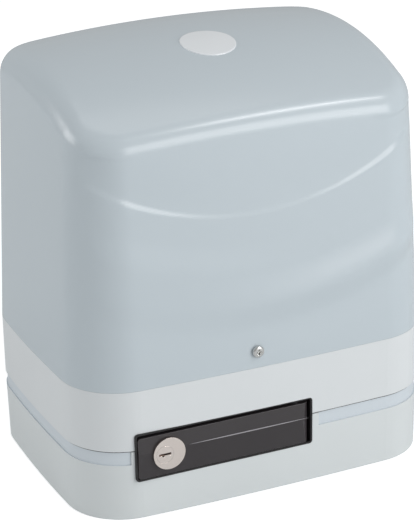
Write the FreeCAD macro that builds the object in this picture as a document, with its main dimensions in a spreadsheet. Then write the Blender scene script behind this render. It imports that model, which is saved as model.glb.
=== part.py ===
import FreeCAD, Part
import math
import os
import re

import Sketcher
from FreeCAD import Placement, Rotation, Vector

# Sliding gate motor.  Millimetres.  The origin is the centre of the base's underside, +Z is up,
# +Y points at the gate (the pinion's side) and -Y is the side with the release handle.

DIMENSIONS = [
    # name, value, what it sets
    ("body_width", 280, "base and band, along X"),
    ("body_depth", 206, "base and band, along Y"),
    ("corner_radius", 44, "plan corners"),
    ("front_bow", 2400, "radius of the bowed front and rear"),
    ("side_bow", 1300, "radius of the bowed ends"),
    ("base_draft", 1.0, "taper of the base, degrees"),
    ("parting_height", 52.4, "top of the base casting"),
    ("gasket_thickness", 0.8, "casing gasket"),
    ("gasket_inset", 0.8, "gasket edge behind the outline"),
    ("gasket_width", 3.4, "gasket's own width"),
    ("band_top", 98.0, "top of the upper casting's band"),
    ("casting_wall", 5.0, "side wall of both castings"),
    ("floor_thickness", 6.0, "base floor"),
    ("deck_thickness", 6.0, "deck above the band"),
    ("lip_rise", 2.5, "lip above the deck"),
    ("lip_wall", 3.0, "lip round the deck"),
    ("stripe_height", 9.9, "recessed stripe under the gasket"),
    ("stripe_depth", 1.2, "recessed stripe"),
    ("stripe_gap_left", 104.6, "stripe stops left of the handle"),
    ("stripe_gap_right", 39.8, "stripe stops right of the handle"),
    # cover
    ("cover_wall", 3.0, "moulded cover"),
    ("cover_gap", 0.9, "between cover and lip"),
    ("seat_gap", 0.1, "between cover and band"),
    ("cover_draft", 2.8, "taper of the cover, degrees"),
    ("crown_top", 313.0, "highest point of the crown"),
    ("crown_offset", 36.0, "crown's ridge behind the centre"),
    ("crown_bow", 190.0, "crown's radius front to rear"),
    ("crown_span", 1350.0, "crown's radius side to side"),
    ("rim_round", 20.0, "rounding between walls and crown"),
    ("swoosh_centre", 432.6, "height of the crease's centre"),
    ("swoosh_offset", -5.0, "crease's centre along X"),
    ("swoosh_upper", 221.0, "radius of the crease"),
    ("swoosh_lower", 274.0, "radius of the recess's soft edge"),
    ("swoosh_depth", 1.3, "step at the crease"),
    ("badge_radius", 20.0, "blank badge"),
    ("badge_thickness", 0.6, "blank badge"),
    ("badge_front", 8.0, "badge centre in front of the centre"),
    # cover screws
    ("cover_screw_height", 110.5, "cover screws' height"),
    ("cover_screw_offset", -8.0, "front cover screw along X"),
    ("rear_screw_offset", 52.0, "rear cover screw along X"),
    ("cover_screw_radius", 2.5, "M5"),
    ("cover_screw_head", 4.35, "head radius"),
    ("cover_screw_head_height", 2.6, "head height"),
    ("cover_screw_length", 14.0, "under the head"),
    ("screw_gap", 0.25, "radial, screws in their holes"),
    ("lug_width", 26.0, "slotted lug behind a cover screw"),
    ("lug_thickness", 4.0, "slotted lug"),
    ("lug_rise", 8.0, "lug above the screw's axis"),
    ("lug_inset", 1.2, "lug behind the lip's edge"),
    ("nut_gap", 0.1, "nut behind its lug"),
    ("screw_seat", 0.35, "screw head on the cover"),
    ("nut_width", 8.0, "square nut"),
    ("nut_thickness", 4.0, "square nut"),
    # anchors
    ("anchor_spacing_long", 216.0, "anchor slots along X"),
    ("anchor_spacing_short", 100.0, "anchor slots along Y"),
    ("anchor_slot_width", 11.0, "for M10 anchors"),
    ("anchor_slot_length", 24.0, "end to end, along X"),
    ("anchor_pad_radius", 15.0, "raised pad at each slot"),
    ("anchor_pad_height", 2.0, "above the floor"),
    ("anchor_access_radius", 16.0, "hole in the deck over each slot"),
    ("levelling_offset", 38.0, "levelling screw inboard of its slot"),
    ("levelling_radius", 5.0, "M10"),
    ("levelling_length", 14.0, "levelling screw"),
    ("levelling_recess", 0.4, "screw's end above the underside"),
    # casing bolts
    ("casing_bolt_end", 23.0, "casing bolts inside the ends"),
    ("casing_bolt_side", 23.7, "casing bolts inside front and rear"),
    ("casing_bolt_radius", 3.0, "M6"),
    ("casing_bolt_head", 5.0, "socket head radius"),
    ("casing_bolt_head_height", 6.0, "socket head"),
    ("casing_boss_radius", 9.0, "boss round each casing bolt"),
    ("casing_bolt_depth", 16.0, "thread in the base"),
    ("deck_boss_height", 2.0, "bolt seat above the deck"),
    # drive line
    ("shaft_height", 70.0, "output shaft axis"),
    ("shaft_radius", 10.0, "output shaft"),
    ("shaft_collar", 13.0, "collar radius"),
    ("front_journal", 7.5, "front journal radius"),
    ("running_gap", 0.05, "radial, running fits"),
    ("worm_plane", 34.0, "wheel's middle plane along Y"),
    ("worm_module", 1.6, "worm and wheel"),
    ("wheel_teeth", 30, "worm wheel"),
    ("worm_quotient", 10, "worm's pitch diameter in modules"),
    ("wheel_face", 14.0, "wheel's toothed width"),
    ("wheel_hub_radius", 17.5, "wheel hub"),
    ("wheel_hub_length", 22.0, "wheel hub"),
    ("mesh_gap", 0.22, "taken off each worm flank"),
    ("worm_turns", 5, "turns of thread"),
    ("worm_shaft_radius", 6.0, "worm and motor shaft"),
    ("pinion_module", 4.0, "rack pinion"),
    ("pinion_teeth", 16, "rack pinion"),
    ("pinion_width", 25.0, "rack pinion"),
    ("pinion_clearance", 3.0, "pinion behind the rear wall"),
    ("pinion_key_width", 6.0, "feather key"),
    ("pinion_key_height", 6.0, "feather key"),
    ("pinion_key_length", 20.0, "feather key"),
    ("key_gap", 0.05, "over the key"),
    ("pinion_bolt_radius", 4.0, "M8"),
    ("pinion_bolt_depth", 20.0, "into the shaft"),
    ("pinion_washer_radius", 15.0, "washer under the bolt"),
    ("pinion_washer_thickness", 2.5, "washer under the bolt"),
    ("pinion_bolt_head", 6.5, "head radius"),
    ("pinion_bolt_head_height", 5.3, "head height"),
    ("rear_bearing_radius", 21.0, "6004"),
    ("rear_bearing_width", 12.0, "6004"),
    ("front_bearing_radius", 16.0, "6002"),
    ("front_bearing_width", 9.0, "6002"),
    ("front_bearing_back", 19.0, "its rear face in front of the centre"),
    ("bracket_wall", 8.0, "round the front bearing"),
    ("bracket_lip", 4.0, "behind the front bearing"),
    ("bearing_boss_wall", 5.0, "round the rear bearing"),
    ("boss_relief", 0.4, "base wall clear of that boss"),
    ("seal_radius", 15.0, "output seal"),
    ("seal_width", 7.0, "output seal"),
    ("shaft_gap", 0.5, "round shafts where nothing bears"),
    # clutch
    ("clutch_radius", 19.0, "clutch sleeve"),
    ("clutch_length", 18.0, "clutch sleeve"),
    ("clutch_gap", 0.4, "between sleeve and wheel hub"),
    ("clutch_travel", 8.0, "sleeve's stroke"),
    ("dog_length", 5.0, "dogs on the sleeve"),
    ("dog_inner", 11.5, "dogs' inner radius"),
    ("dog_outer", 16.5, "dogs' outer radius"),
    ("dog_angle", 36.0, "each dog, degrees"),
    ("dog_play", 4.0, "each side, degrees"),
    ("dog_count", 4, "dogs"),
    ("groove_radius", 15.0, "fork groove"),
    ("groove_width", 4.6, "fork groove"),
    ("fork_thickness", 4.0, "fork plate"),
    ("fork_gap", 0.4, "fork in its groove"),
    ("spline_width", 5.0, "rib on the shaft"),
    ("spline_height", 2.0, "rib on the shaft"),
    ("rod_height", 16.0, "release rod axis"),
    ("rod_offset", 22.0, "release rod along X"),
    ("rod_radius", 3.0, "release rod"),
    ("guide_wall", 4.0, "round the rod"),
    ("guide_length", 8.0, "each rod guide"),
    ("guide_front", -62.0, "front rod guide along Y"),
    ("guide_rear", -8.0, "rear rod guide along Y"),
    # worm bearings
    ("worm_bearing_radius", 16.0, "6201"),
    ("worm_bearing_width", 10.0, "6201"),
    ("worm_bearing_floor", 2.0, "under the bearing, above the floor"),
    ("worm_boss_wall", 3.0, "round the bearing"),
    ("race_split", 0.62, "inner race's share of the ring"),
    # motor
    ("motor_radius", 46.0, "motor"),
    ("motor_cup_height", 20.0, "lower end cup"),
    ("motor_cup_wall", 4.0, "end cups"),
    ("motor_cup_floor", 5.0, "end cups"),
    ("stator_height", 52.0, "stator stack"),
    ("stator_bore", 26.5, "stator bore"),
    ("rotor_gap", 0.5, "air gap"),
    ("winding_outer", 39.0, "end windings"),
    ("winding_inner", 29.0, "end windings"),
    ("winding_rise", 13.0, "end windings"),
    ("motor_top_height", 30.0, "upper end cup"),
    ("ear_circle", 50.0, "tie bolts' circle"),
    ("ear_radius", 5.5, "tie bolt ears"),
    ("tie_radius", 2.5, "M5 tie bolts"),
    ("tie_head_radius", 3.9, "tie bolt heads"),
    ("tie_head_height", 5.0, "tie bolt heads"),
    ("motor_hole_radius", 13.0, "deck hole under the motor"),
    ("lamination_grooves", 6, "grooves round the stator"),
    ("lamination_groove_depth", 0.8, "grooves round the stator"),
    ("lamination_groove_width", 1.2, "grooves round the stator"),
    # electronics
    ("tray_width", 178.0, "board tray"),
    ("tray_height", 104.0, "board tray"),
    ("tray_thickness", 3.0, "board tray"),
    ("tray_front", -64.0, "tray's front face along Y"),
    ("tray_foot", 22.0, "tray's foot"),
    ("standoff_height", 5.0, "under the board"),
    ("standoff_radius", 4.0, "under the board"),
    ("board_width", 166.0, "control board"),
    ("board_height", 88.0, "control board"),
    ("board_thickness", 1.6, "control board"),
    ("board_lift", 10.0, "board above the tray's foot"),
    ("board_edge", 7.0, "board screws from its edges"),
    ("terminal_height", 14.0, "terminal blocks"),
    ("terminal_depth", 12.0, "terminal blocks"),
    ("terminal_pitch", 5.0, "terminal blocks"),
    ("relay_width", 20.0, "relays"),
    ("relay_height", 26.0, "relays"),
    ("relay_depth", 14.0, "relays"),
    ("transformer_width", 56.0, "transformer core"),
    ("transformer_depth", 42.0, "transformer core"),
    ("transformer_height", 52.0, "transformer core"),
    ("transformer_offset", -64.0, "transformer along X"),
    ("transformer_back", 6.0, "transformer along Y"),
    ("coil_margin", 8.0, "coil beyond the core"),
    ("coil_inset", 9.0, "core limb width"),
    ("capacitor_radius", 16.5, "run capacitor"),
    ("capacitor_height", 78.0, "run capacitor"),
    ("capacitor_offset", -72.0, "capacitor along X"),
    ("capacitor_margin", 37.0, "capacitor inside the rear face"),
    ("clip_wall", 1.5, "capacitor clip"),
    ("clip_height", 12.0, "capacitor clip"),
    # release handle
    ("handle_left", -100.5, "handle's left end"),
    ("handle_right", 33.0, "handle's right end"),
    ("handle_bottom", 31.0, "handle's lower edge"),
    ("handle_top", 62.2, "handle's upper edge"),
    ("handle_corner", 2.2, "handle's corners"),
    ("liner_corner", 1.2, "inside corners of the pocket liner"),
    ("handle_barrel", 8.5, "handle's hinge barrel"),
    ("handle_proud", 0.5, "handle in front of the base"),
    ("handle_thickness", 14.0, "handle, front to back"),
    ("handle_plate", 4.0, "handle's front plate"),
    ("handle_rim", 2.6, "handle's side ribs"),
    ("handle_ridge", 50.7, "height of the handle's ridge"),
    ("ridge_drop", 1.6, "handle's edges behind its ridge"),
    ("handle_gap", 0.4, "round the handle"),
    ("finger_gap", 2.3, "over the handle"),
    ("pocket_wall", 1.3, "pocket liner's walls"),
    ("liner_setback", 0.9, "liner's rim behind the front"),
    ("pocket_depth", 22.0, "pocket behind the front"),
    ("pocket_back", 2.0, "pocket's rear wall"),
    ("spindle_radius", 2.5, "hinge spindle"),
    ("spindle_top", 66.5, "hinge spindle's top"),
    ("crank_radius", 8.0, "release crank"),
    ("crank_top", 27.0, "release crank's upper face"),
    ("crank_thickness", 4.0, "release crank"),
    ("finger_radius", 2.0, "crank finger"),
    ("finger_length", 10.0, "crank finger below the crank"),
    ("yoke_play", 1.9, "finger's free play in the yoke"),
    ("yoke_gap", 0.3, "finger in the yoke"),
    ("yoke_front_wall", 1.8, "in front of the yoke's slot"),
    ("yoke_wall", 3.5, "round the yoke's slot"),
    ("yoke_thickness", 5.0, "yoke plate"),
    # lock
    ("lock_offset", -78.0, "lock along X"),
    ("lock_height", 48.0, "lock's height"),
    ("lock_flange_radius", 12.0, "lock flange"),
    ("lock_flange_height", 1.8, "lock flange"),
    ("lock_barrel_radius", 10.6, "lock barrel"),
    ("lock_barrel_length", 14.0, "lock barrel"),
    ("plug_radius", 6.5, "lock plug"),
    ("plug_offset", 3.4, "plug left of the lock's centre"),
    ("keyway_length", 9.0, "keyway"),
    ("keyway_width", 1.6, "keyway"),
    ("keyway_depth", 8.0, "keyway"),
    ("cam_length", 14.0, "lock cam"),
    ("cam_width", 7.0, "lock cam"),
    ("cam_thickness", 2.5, "lock cam"),
    ("cam_gap", 0.3, "lock cam behind the barrel"),
    ("keeper_depth", 3.0, "keeper in front of the cam"),
    ("keeper_reach", 9.0, "keeper from the pocket's wall"),
    ("keeper_gap", 0.8, "keeper to cam"),
    ("keeper_height", 12.0, "keeper"),
    # limit switch
    ("limit_offset", -32.0, "limit switch along X"),
    ("limit_height", 142.0, "limit spindle's height"),
    ("limit_width", 36.0, "limit switch box"),
    ("limit_front", 62.0, "limit switch box's front along Y"),
    ("limit_box_top", 162.0, "limit switch box's top"),
    ("limit_gap", 0.6, "round the box in the cover"),
    ("limit_spindle", 4.0, "limit spindle"),
    ("limit_boss", 9.0, "boss round the spindle"),
    ("limit_boss_length", 5.0, "boss behind the box"),
    ("limit_hub", 8.0, "lever hub"),
    ("limit_hub_length", 12.0, "lever hub"),
    ("limit_spring_radius", 5.0, "spring lever"),
    ("limit_spring_wire", 1.5, "spring lever's wire"),
    ("limit_spring_turns", 11, "spring lever"),
    ("limit_tip_radius", 6.5, "lever's tip"),
    # cable entry
    ("cable_offset", -38.0, "cable entry along X"),
    ("cable_back", -46.0, "cable entry along Y"),
    ("cable_radius", 16.0, "cable entry hole"),
    ("grommet_wall", 2.0, "grommet"),
    ("grommet_height", 12.0, "grommet"),
    ("grommet_flange", 3.0, "grommet's flange"),
    ("wire_slot_width", 46.0, "wire opening in the deck"),
    ("wire_slot_depth", 20.0, "wire opening in the deck"),
]

NAMES = {name for name, _, _ in DIMENSIONS}

doc = FreeCAD.newDocument("SlidingGateMotor")
sheet = doc.addObject("Spreadsheet::Sheet", "Dimensions")
for row, (name, size, note) in enumerate(DIMENSIONS, start=1):
    sheet.set(f"A{row}", name)
    sheet.set(f"B{row}", str(size))
    sheet.set(f"C{row}", note)
    sheet.setAlias(f"B{row}", name)
doc.recompute()

PARTS = []


# ---------------------------------------------------------------- expressions

def bound(text):
    """The expression with each of the sheet's names written out in full."""
    return re.sub(r"[a-z][a-z_]*", lambda m: "Dimensions." + m[0] if m[0] in NAMES else m[0], str(text))


def number(text):
    """The expression's value now."""
    return float(sheet.evalExpression(bound(text)))


def bind(obj, prop, text):
    obj.setExpression(prop, bound(text))


# ---------------------------------------------------------------- sketches

def new_body(label, keep=True):
    body = doc.addObject("PartDesign::Body", label)
    body.Label = label
    if keep:
        PARTS.append(body)
    return body


def new_sketch(body, name, role, offset="0"):
    """A sketch on one of the body's origin planes, moved along that plane's own axis."""
    sketch = body.newObject("Sketcher::SketchObject", body.Name + "_" + name)
    plane = next(f for f in body.Origin.OriginFeatures if f.Role == role + "_Plane")
    sketch.AttachmentSupport = [(plane, "")]
    sketch.MapMode = "FlatFace"
    sketch.Label2 = "on_" + role
    # The XZ plane's normal is -Y, so offsets there are turned round.
    text = f"-({offset})" if role == "XZ" else offset
    bind(sketch, "AttachmentOffset.Base.z", text)
    return sketch


def measure(sketch, kind, refs, text):
    """One driving dimension tied to an expression."""
    index = sketch.addConstraint(Sketcher.Constraint(kind, *refs, number(text)))
    label = f"d{index}"
    sketch.renameConstraint(index, label)
    bind(sketch, "Constraints." + label, text)


def place(sketch, geo, point, x, y):
    """Fixes a point of the sketch at two expressions."""
    for kind, text, axis in (("DistanceX", x, -2), ("DistanceY", y, -1)):
        if str(text) == "0":
            sketch.addConstraint(Sketcher.Constraint("PointOnObject", geo, point, axis))
        else:
            measure(sketch, kind, (-1, 1, geo, point), text)


def polygon(body, name, role, points, offset="0"):
    """A closed outline of straight lines through points given as pairs of expressions."""
    sketch = new_sketch(body, name, role, offset)
    corners = [Vector(number(x), number(y), 0) for x, y in points]
    count = len(corners)
    lines = [Part.LineSegment(corners[i], corners[(i + 1) % count]) for i in range(count)]
    sketch.addGeometry(lines, False)
    joins = [Sketcher.Constraint("Coincident", i, 2, (i + 1) % count, 1) for i in range(count)]
    sketch.addConstraint(joins)
    for i, (x, y) in enumerate(points):
        place(sketch, i, 1, x, y)
    return sketch


def box_outline(body, name, role, left, right, low, high, offset="0"):
    corners = [(left, low), (right, low), (right, high), (left, high)]
    return polygon(body, name, role, corners, offset)


def circles(body, name, role, items, offset="0"):
    """Circles given as (x, y, radius) expressions."""
    sketch = new_sketch(body, name, role, offset)
    for i, (x, y, radius) in enumerate(items):
        centre = Vector(number(x), number(y), 0)
        sketch.addGeometry(Part.Circle(centre, Vector(0, 0, 1), number(radius)), False)
        place(sketch, i, 3, x, y)
        measure(sketch, "Radius", (i,), radius)
    return sketch


def rounded(body, name, role, left, right, low, high, radius, offset="0"):
    """A rectangle with equal round corners."""
    sketch = new_sketch(body, name, role, offset)
    x0, x1, y0, y1, r = (number(t) for t in (left, right, low, high, radius))
    z = Vector(0, 0, 1)
    quarter = math.pi / 2
    geometry = [
        Part.LineSegment(Vector(x0 + r, y0, 0), Vector(x1 - r, y0, 0)),
        Part.ArcOfCircle(Part.Circle(Vector(x1 - r, y0 + r, 0), z, r), -quarter, 0),
        Part.LineSegment(Vector(x1, y0 + r, 0), Vector(x1, y1 - r, 0)),
        Part.ArcOfCircle(Part.Circle(Vector(x1 - r, y1 - r, 0), z, r), 0, quarter),
        Part.LineSegment(Vector(x1 - r, y1, 0), Vector(x0 + r, y1, 0)),
        Part.ArcOfCircle(Part.Circle(Vector(x0 + r, y1 - r, 0), z, r), quarter, 2 * quarter),
        Part.LineSegment(Vector(x0, y1 - r, 0), Vector(x0, y0 + r, 0)),
        Part.ArcOfCircle(Part.Circle(Vector(x0 + r, y0 + r, 0), z, r), 2 * quarter, 3 * quarter),
    ]
    sketch.addGeometry(geometry, False)
    sketch.addConstraint([Sketcher.Constraint("Tangent", i, 2, (i + 1) % 8, 1) for i in range(8)])
    sketch.addConstraint([Sketcher.Constraint("Horizontal", 0), Sketcher.Constraint("Vertical", 2)])
    sketch.addConstraint([Sketcher.Constraint("Equal", 1, i) for i in (3, 5, 7)])
    measure(sketch, "Radius", (1,), radius)
    measure(sketch, "DistanceX", (-1, 1, 6, 1), left)
    measure(sketch, "DistanceX", (-1, 1, 2, 1), right)
    measure(sketch, "DistanceY", (-1, 1, 0, 1), low)
    measure(sketch, "DistanceY", (-1, 1, 4, 1), high)
    return sketch


def add_plan(sketch, inset):
    """Adds the casing's plan, eight tangent arcs, set in by the inset."""
    half_x = number(f"body_width / 2 - ({inset})")
    half_y = number(f"body_depth / 2 - ({inset})")
    corner = number(f"corner_radius - ({inset})")
    front = number(f"front_bow - ({inset})")
    side = number(f"side_bow - ({inset})")
    front_y = front - half_y
    side_x = side - half_x
    # The corner's centre lies where it touches both of its neighbours from inside.
    gap = math.hypot(side_x, front_y)
    along = ((front - corner) ** 2 - (side - corner) ** 2 + gap * gap) / (2 * gap)
    off = math.sqrt((front - corner) ** 2 - along ** 2)
    ux, uy = -side_x / gap, -front_y / gap
    x = along * ux - off * uy
    y = front_y + along * uy + off * ux
    if x < 0:
        x = along * ux + off * uy
        y = front_y + along * uy - off * ux
    a = math.atan2(y - front_y, x)
    b = math.atan2(y, x + side_x)
    pi = math.pi
    arcs = [
        (0, front_y, front, -pi - a, a),
        (x, y, corner, a, b),
        (-side_x, 0, side, b, -b),
        (x, -y, corner, -b, -a),
        (0, -front_y, front, -a, pi + a),
        (-x, -y, corner, pi + a, pi + b),
        (side_x, 0, side, pi + b, pi - b),
        (-x, y, corner, pi - b, pi - a),
    ]
    first = sketch.GeometryCount
    for cx, cy, radius, start, end in arcs:
        circle = Part.Circle(Vector(cx, cy, 0), Vector(0, 0, 1), radius)
        sketch.addGeometry(Part.ArcOfCircle(circle, start, end), False)
    for i in range(8):
        sketch.addConstraint(Sketcher.Constraint("Tangent", first + i, 2, first + (i + 1) % 8, 1))
    for i, axis in ((0, -2), (4, -2), (2, -1), (6, -1)):
        sketch.addConstraint(Sketcher.Constraint("PointOnObject", first + i, 3, axis))
    for i, j in ((0, 4), (2, 6), (1, 3), (1, 5), (1, 7)):
        sketch.addConstraint(Sketcher.Constraint("Equal", first + i, first + j))
    measure(sketch, "Radius", (first,), f"front_bow - ({inset})")
    measure(sketch, "Radius", (first + 2,), f"side_bow - ({inset})")
    measure(sketch, "Radius", (first + 1,), f"corner_radius - ({inset})")
    measure(sketch, "DistanceY", (-1, 1, first, 3), "front_bow - body_depth / 2")
    measure(sketch, "DistanceY", (first + 4, 3, -1, 1), "front_bow - body_depth / 2")
    measure(sketch, "DistanceX", (first + 2, 3, -1, 1), "side_bow - body_width / 2")
    measure(sketch, "DistanceX", (-1, 1, first + 6, 3), "side_bow - body_width / 2")


def plan(body, name, insets, height):
    sketch = new_sketch(body, name, "XY", height)
    for inset in insets:
        add_plan(sketch, inset)
    return sketch


# ---------------------------------------------------------------- features

def toward_normal(sketch, toward):
    """Whether the frame's direction runs along the sketch's own normal."""
    down = sketch.Label2 == "on_XZ"
    return (toward > 0) != down


def pad(body, sketch, length, toward=1, taper=None):
    """A pad toward the positive (1) or negative (-1) end of the frame's axis."""
    feature = body.newObject("PartDesign::Pad", sketch.Name + "_pad")
    feature.Profile = sketch
    bind(feature, "Length", length)
    feature.Reversed = not toward_normal(sketch, toward)
    if taper:
        bind(feature, "TaperAngle", taper)
    return feature


def pocket(body, sketch, length=None, toward=-1):
    """A pocket of a length along the frame's axis, or right through where no length is given."""
    feature = body.newObject("PartDesign::Pocket", sketch.Name + "_pocket")
    feature.Profile = sketch
    feature.Reversed = toward_normal(sketch, toward)
    if length is None:
        feature.Type = "ThroughAll"
        feature.Midplane = True
    else:
        bind(feature, "Length", length)
    return feature


def turn(body, sketch, cut=False, axis="V_Axis"):
    kind = "Groove" if cut else "Revolution"
    feature = body.newObject("PartDesign::" + kind, sketch.Name + "_" + kind.lower())
    feature.Profile = sketch
    feature.ReferenceAxis = (sketch, [axis])
    feature.Angle = 360
    return feature


def round_edges(body, feature, wanted, radius, kind="Fillet"):
    """Rounds or bevels the feature's edges that the test picks."""
    doc.recompute()
    names = [f"Edge{i}" for i, e in enumerate(feature.Shape.Edges, start=1) if wanted(e)]
    dress = body.newObject("PartDesign::" + kind, f"{feature.Name}_{kind.lower()}")
    dress.Base = (feature, names)
    bind(dress, "Size" if kind == "Chamfer" else "Radius", radius)
    return dress


def put(obj, x="0", y="0", z="0", axis="Z"):
    """Places a part whose own axis is Z along one of the frame's axes."""
    turns = {
        "Z": Rotation(),
        "-Z": Rotation(Vector(1, 0, 0), 180),
        "Y": Rotation(Vector(1, 0, 0), -90),
        "-Y": Rotation(Vector(1, 0, 0), 90),
        "X": Rotation(Vector(0, 1, 0), 90),
    }
    obj.Placement = Placement(Vector(0, 0, 0), turns[axis])
    for letter, text in zip("xyz", (x, y, z)):
        bind(obj, "Placement.Base." + letter, text)


def turned(label, points, x="0", y="0", z="0", axis="Z"):
    """A round part from its half section, (radius, height) pairs, about its own axis."""
    body = new_body(label)
    turn(body, polygon(body, "section", "XZ", points))
    put(body, x, y, z, axis)
    return body


def turned_loose(label, points, x="0", y="0", z="0", axis="Z"):
    """A round solid that belongs to a gathered piece."""
    turned(label, points, x, y, z, axis)
    return PARTS.pop()


def ring(label, inner, outer, height, x="0", y="0", z="0", axis="Z"):
    section = [(inner, "0"), (outer, "0"), (outer, height), (inner, height)]
    return turned(label, section, x, y, z, axis)


def cylinder(label, radius, height, x="0", y="0", z="0", axis="Z"):
    solid = doc.addObject("Part::Cylinder", label)
    bind(solid, "Radius", radius)
    bind(solid, "Height", height)
    put(solid, x, y, z, axis)
    return solid


def block(label, left, right, front, back, low, high):
    solid = doc.addObject("Part::Box", label)
    bind(solid, "Length", f"({right}) - ({left})")
    bind(solid, "Width", f"({back}) - ({front})")
    bind(solid, "Height", f"({high}) - ({low})")
    put(solid, left, front, low)
    return solid


def fuse(label, shapes, keep=True):
    union = doc.addObject("Part::MultiFuse", label)
    union.Shapes = shapes
    union.Label = label
    if keep:
        PARTS.append(union)
    return union


def cut(label, base, tool, keep=True):
    result = doc.addObject("Part::Cut", label)
    result.Base = base
    result.Tool = tool
    result.Label = label
    if keep:
        PARTS.append(result)
    return result


def gather(label, shapes):
    """Separate solids of one piece, kept apart."""
    compound = doc.addObject("Part::Compound", label)
    compound.Links = shapes
    compound.Label = label
    PARTS.append(compound)
    return compound


def computed(label, shape, x="0", y="0", z="0", axis="Z"):
    """A part whose shape comes from a calculation, such as a gear's teeth."""
    feature = doc.addObject("Part::Feature", label)
    feature.Shape = shape
    feature.Label = label
    put(feature, x, y, z, axis)
    PARTS.append(feature)
    return feature


# ---------------------------------------------------------------- castings

DECK_TOP = "(band_top + deck_thickness)"
BAND_BOTTOM = "(parting_height + gasket_thickness)"
FRONT = "(-body_depth / 2)"
REAR = "(body_depth / 2)"
LIP_INSET = "(cover_wall + cover_gap)"
WORM_X = "(worm_module * (worm_quotient + wheel_teeth) / 2)"
OPEN_LEFT = "(handle_left - handle_gap - pocket_wall)"
OPEN_RIGHT = "(handle_right + handle_gap + pocket_wall)"
OPEN_LOW = "(handle_bottom - handle_gap - pocket_wall)"
OPEN_HIGH = "(handle_top + finger_gap + pocket_wall)"
OPEN_CORNER = "(liner_corner + pocket_wall)"
PIVOT_X = "(handle_right - handle_barrel)"
PIVOT_Y = f"({FRONT} - handle_proud + handle_barrel)"
CORNERS = [(sx, sy) for sx in ("-", "") for sy in ("-", "")]
ANCHORS = [(f"{sx}anchor_spacing_long / 2", f"{sy}anchor_spacing_short / 2") for sx, sy in CORNERS]
BOLTS = [(f"{sx}(body_width / 2 - casing_bolt_end)", f"{sy}(body_depth / 2 - casing_bolt_side)") for sx, sy in CORNERS]

LEVELS = [(f"({x} + levelling_offset)" if x[0] == "-" else f"({x} - levelling_offset)", y)
          for x, y in ANCHORS]

def pocket_opening(body):
    """The opening for the release pocket, through the front wall only."""
    outline = rounded(body, "release_opening", "XZ", OPEN_LEFT, OPEN_RIGHT, OPEN_LOW, OPEN_HIGH,
                      OPEN_CORNER, f"{FRONT} - 3")
    pocket(body, outline, "casting_wall + 9", 1)


def make_stripe_cutter():
    """The recessed stripe's ring, broken where the release handle sits."""
    body = new_body("stripe_cutter", keep=False)
    low = "parting_height - stripe_height"
    pad(body, plan(body, "outer", ["-4"], low), "stripe_height")
    pocket(body, plan(body, "inner", ["stripe_depth"], low), "stripe_height", 1)
    zone = box_outline(body, "handle_zone", "XY", "-stripe_gap_left", "stripe_gap_right",
                       f"{FRONT} - 6", f"{FRONT} + 12", low)
    pocket(body, zone, "stripe_height", 1)
    return body


def make_base_casting():
    stripe = make_stripe_cutter()
    body = new_body("base_casting")
    pad(body, plan(body, "plan", ["0"], "parting_height"), "parting_height", -1, "-base_draft")
    pocket(body, plan(body, "hollow", ["casting_wall"], "parting_height"),
           "parting_height - floor_thickness")
    pads = [(x, y, "anchor_pad_radius") for x, y in ANCHORS]
    pad(body, circles(body, "anchor_pads", "XY", pads, "floor_thickness"), "anchor_pad_height")
    bosses = [(x, y, "casing_boss_radius") for x, y in BOLTS]
    pad(body, circles(body, "bolt_bosses", "XY", bosses, "floor_thickness"),
        "parting_height - floor_thickness")
    boss = [(WORM_X, "worm_plane", "worm_bearing_radius + worm_boss_wall")]
    pad(body, circles(body, "worm_boss", "XY", boss, "floor_thickness"),
        "worm_bearing_floor + worm_bearing_width")
    seat = [(WORM_X, "worm_plane", "worm_bearing_radius")]
    pocket(body, circles(body, "worm_seat", "XY", seat, "floor_thickness + worm_bearing_floor"),
           "worm_bearing_width + 1", 1)
    half = "(rod_radius + guide_wall)"
    for name, start in (("front", "guide_front"), ("rear", "guide_rear")):
        outline = box_outline(body, name + "_guide", "XZ", f"rod_offset - {half}",
                              f"rod_offset + {half}", "floor_thickness", f"rod_height + {half}", start)
        pad(body, outline, "guide_length")
    bore = [("rod_offset", "rod_height", "rod_radius + running_gap")]
    pocket(body, circles(body, "rod_bore", "XZ", bore, "guide_front - 2"),
           "guide_rear - guide_front + guide_length + 4", 1)
    half = "anchor_slot_length / 2"
    for i, (x, y) in enumerate(ANCHORS):
        slot = rounded(body, f"anchor_slot_{i}", "XY", f"{x} - {half}", f"{x} + {half}",
                       f"{y} - anchor_slot_width / 2", f"{y} + anchor_slot_width / 2",
                       "anchor_slot_width / 2 - 0.001")
        pocket(body, slot)
    drilled = [(x, y, "casing_bolt_radius") for x, y in BOLTS]
    pocket(body, circles(body, "bolt_holes", "XY", drilled, "parting_height"),
           "casing_bolt_depth + 2")
    pocket(body, circles(body, "levelling_holes", "XY", [(x, y, "levelling_radius") for x, y in LEVELS]))
    pocket(body, circles(body, "cable_hole", "XY", [("cable_offset", "cable_back", "cable_radius")]))
    relief = [("0", "shaft_height", "rear_bearing_radius + bearing_boss_wall + boss_relief")]
    pocket(body, circles(body, "boss_relief", "XZ", relief, f"{BEARING_FRONT}"),
           "rear_bearing_width + seal_width - casting_wall + boss_relief", 1)
    half = "(yoke_thickness / 2 + 1)"
    relief = box_outline(body, "yoke_relief", "XZ", f"{YOKE_LEFT} - 1", f"{YOKE_RIGHT} + 1",
                         f"rod_height - {half}", f"rod_height + {half}",
                         f"{YOKE_FRONT} - clutch_travel - 0.4")
    pocket(body, relief, "casting_wall", 1)
    pocket_opening(body)
    band = body.newObject("PartDesign::Boolean", "stripe_cut")
    band.addObject(stripe)
    band.Type = "Cut"


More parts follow.
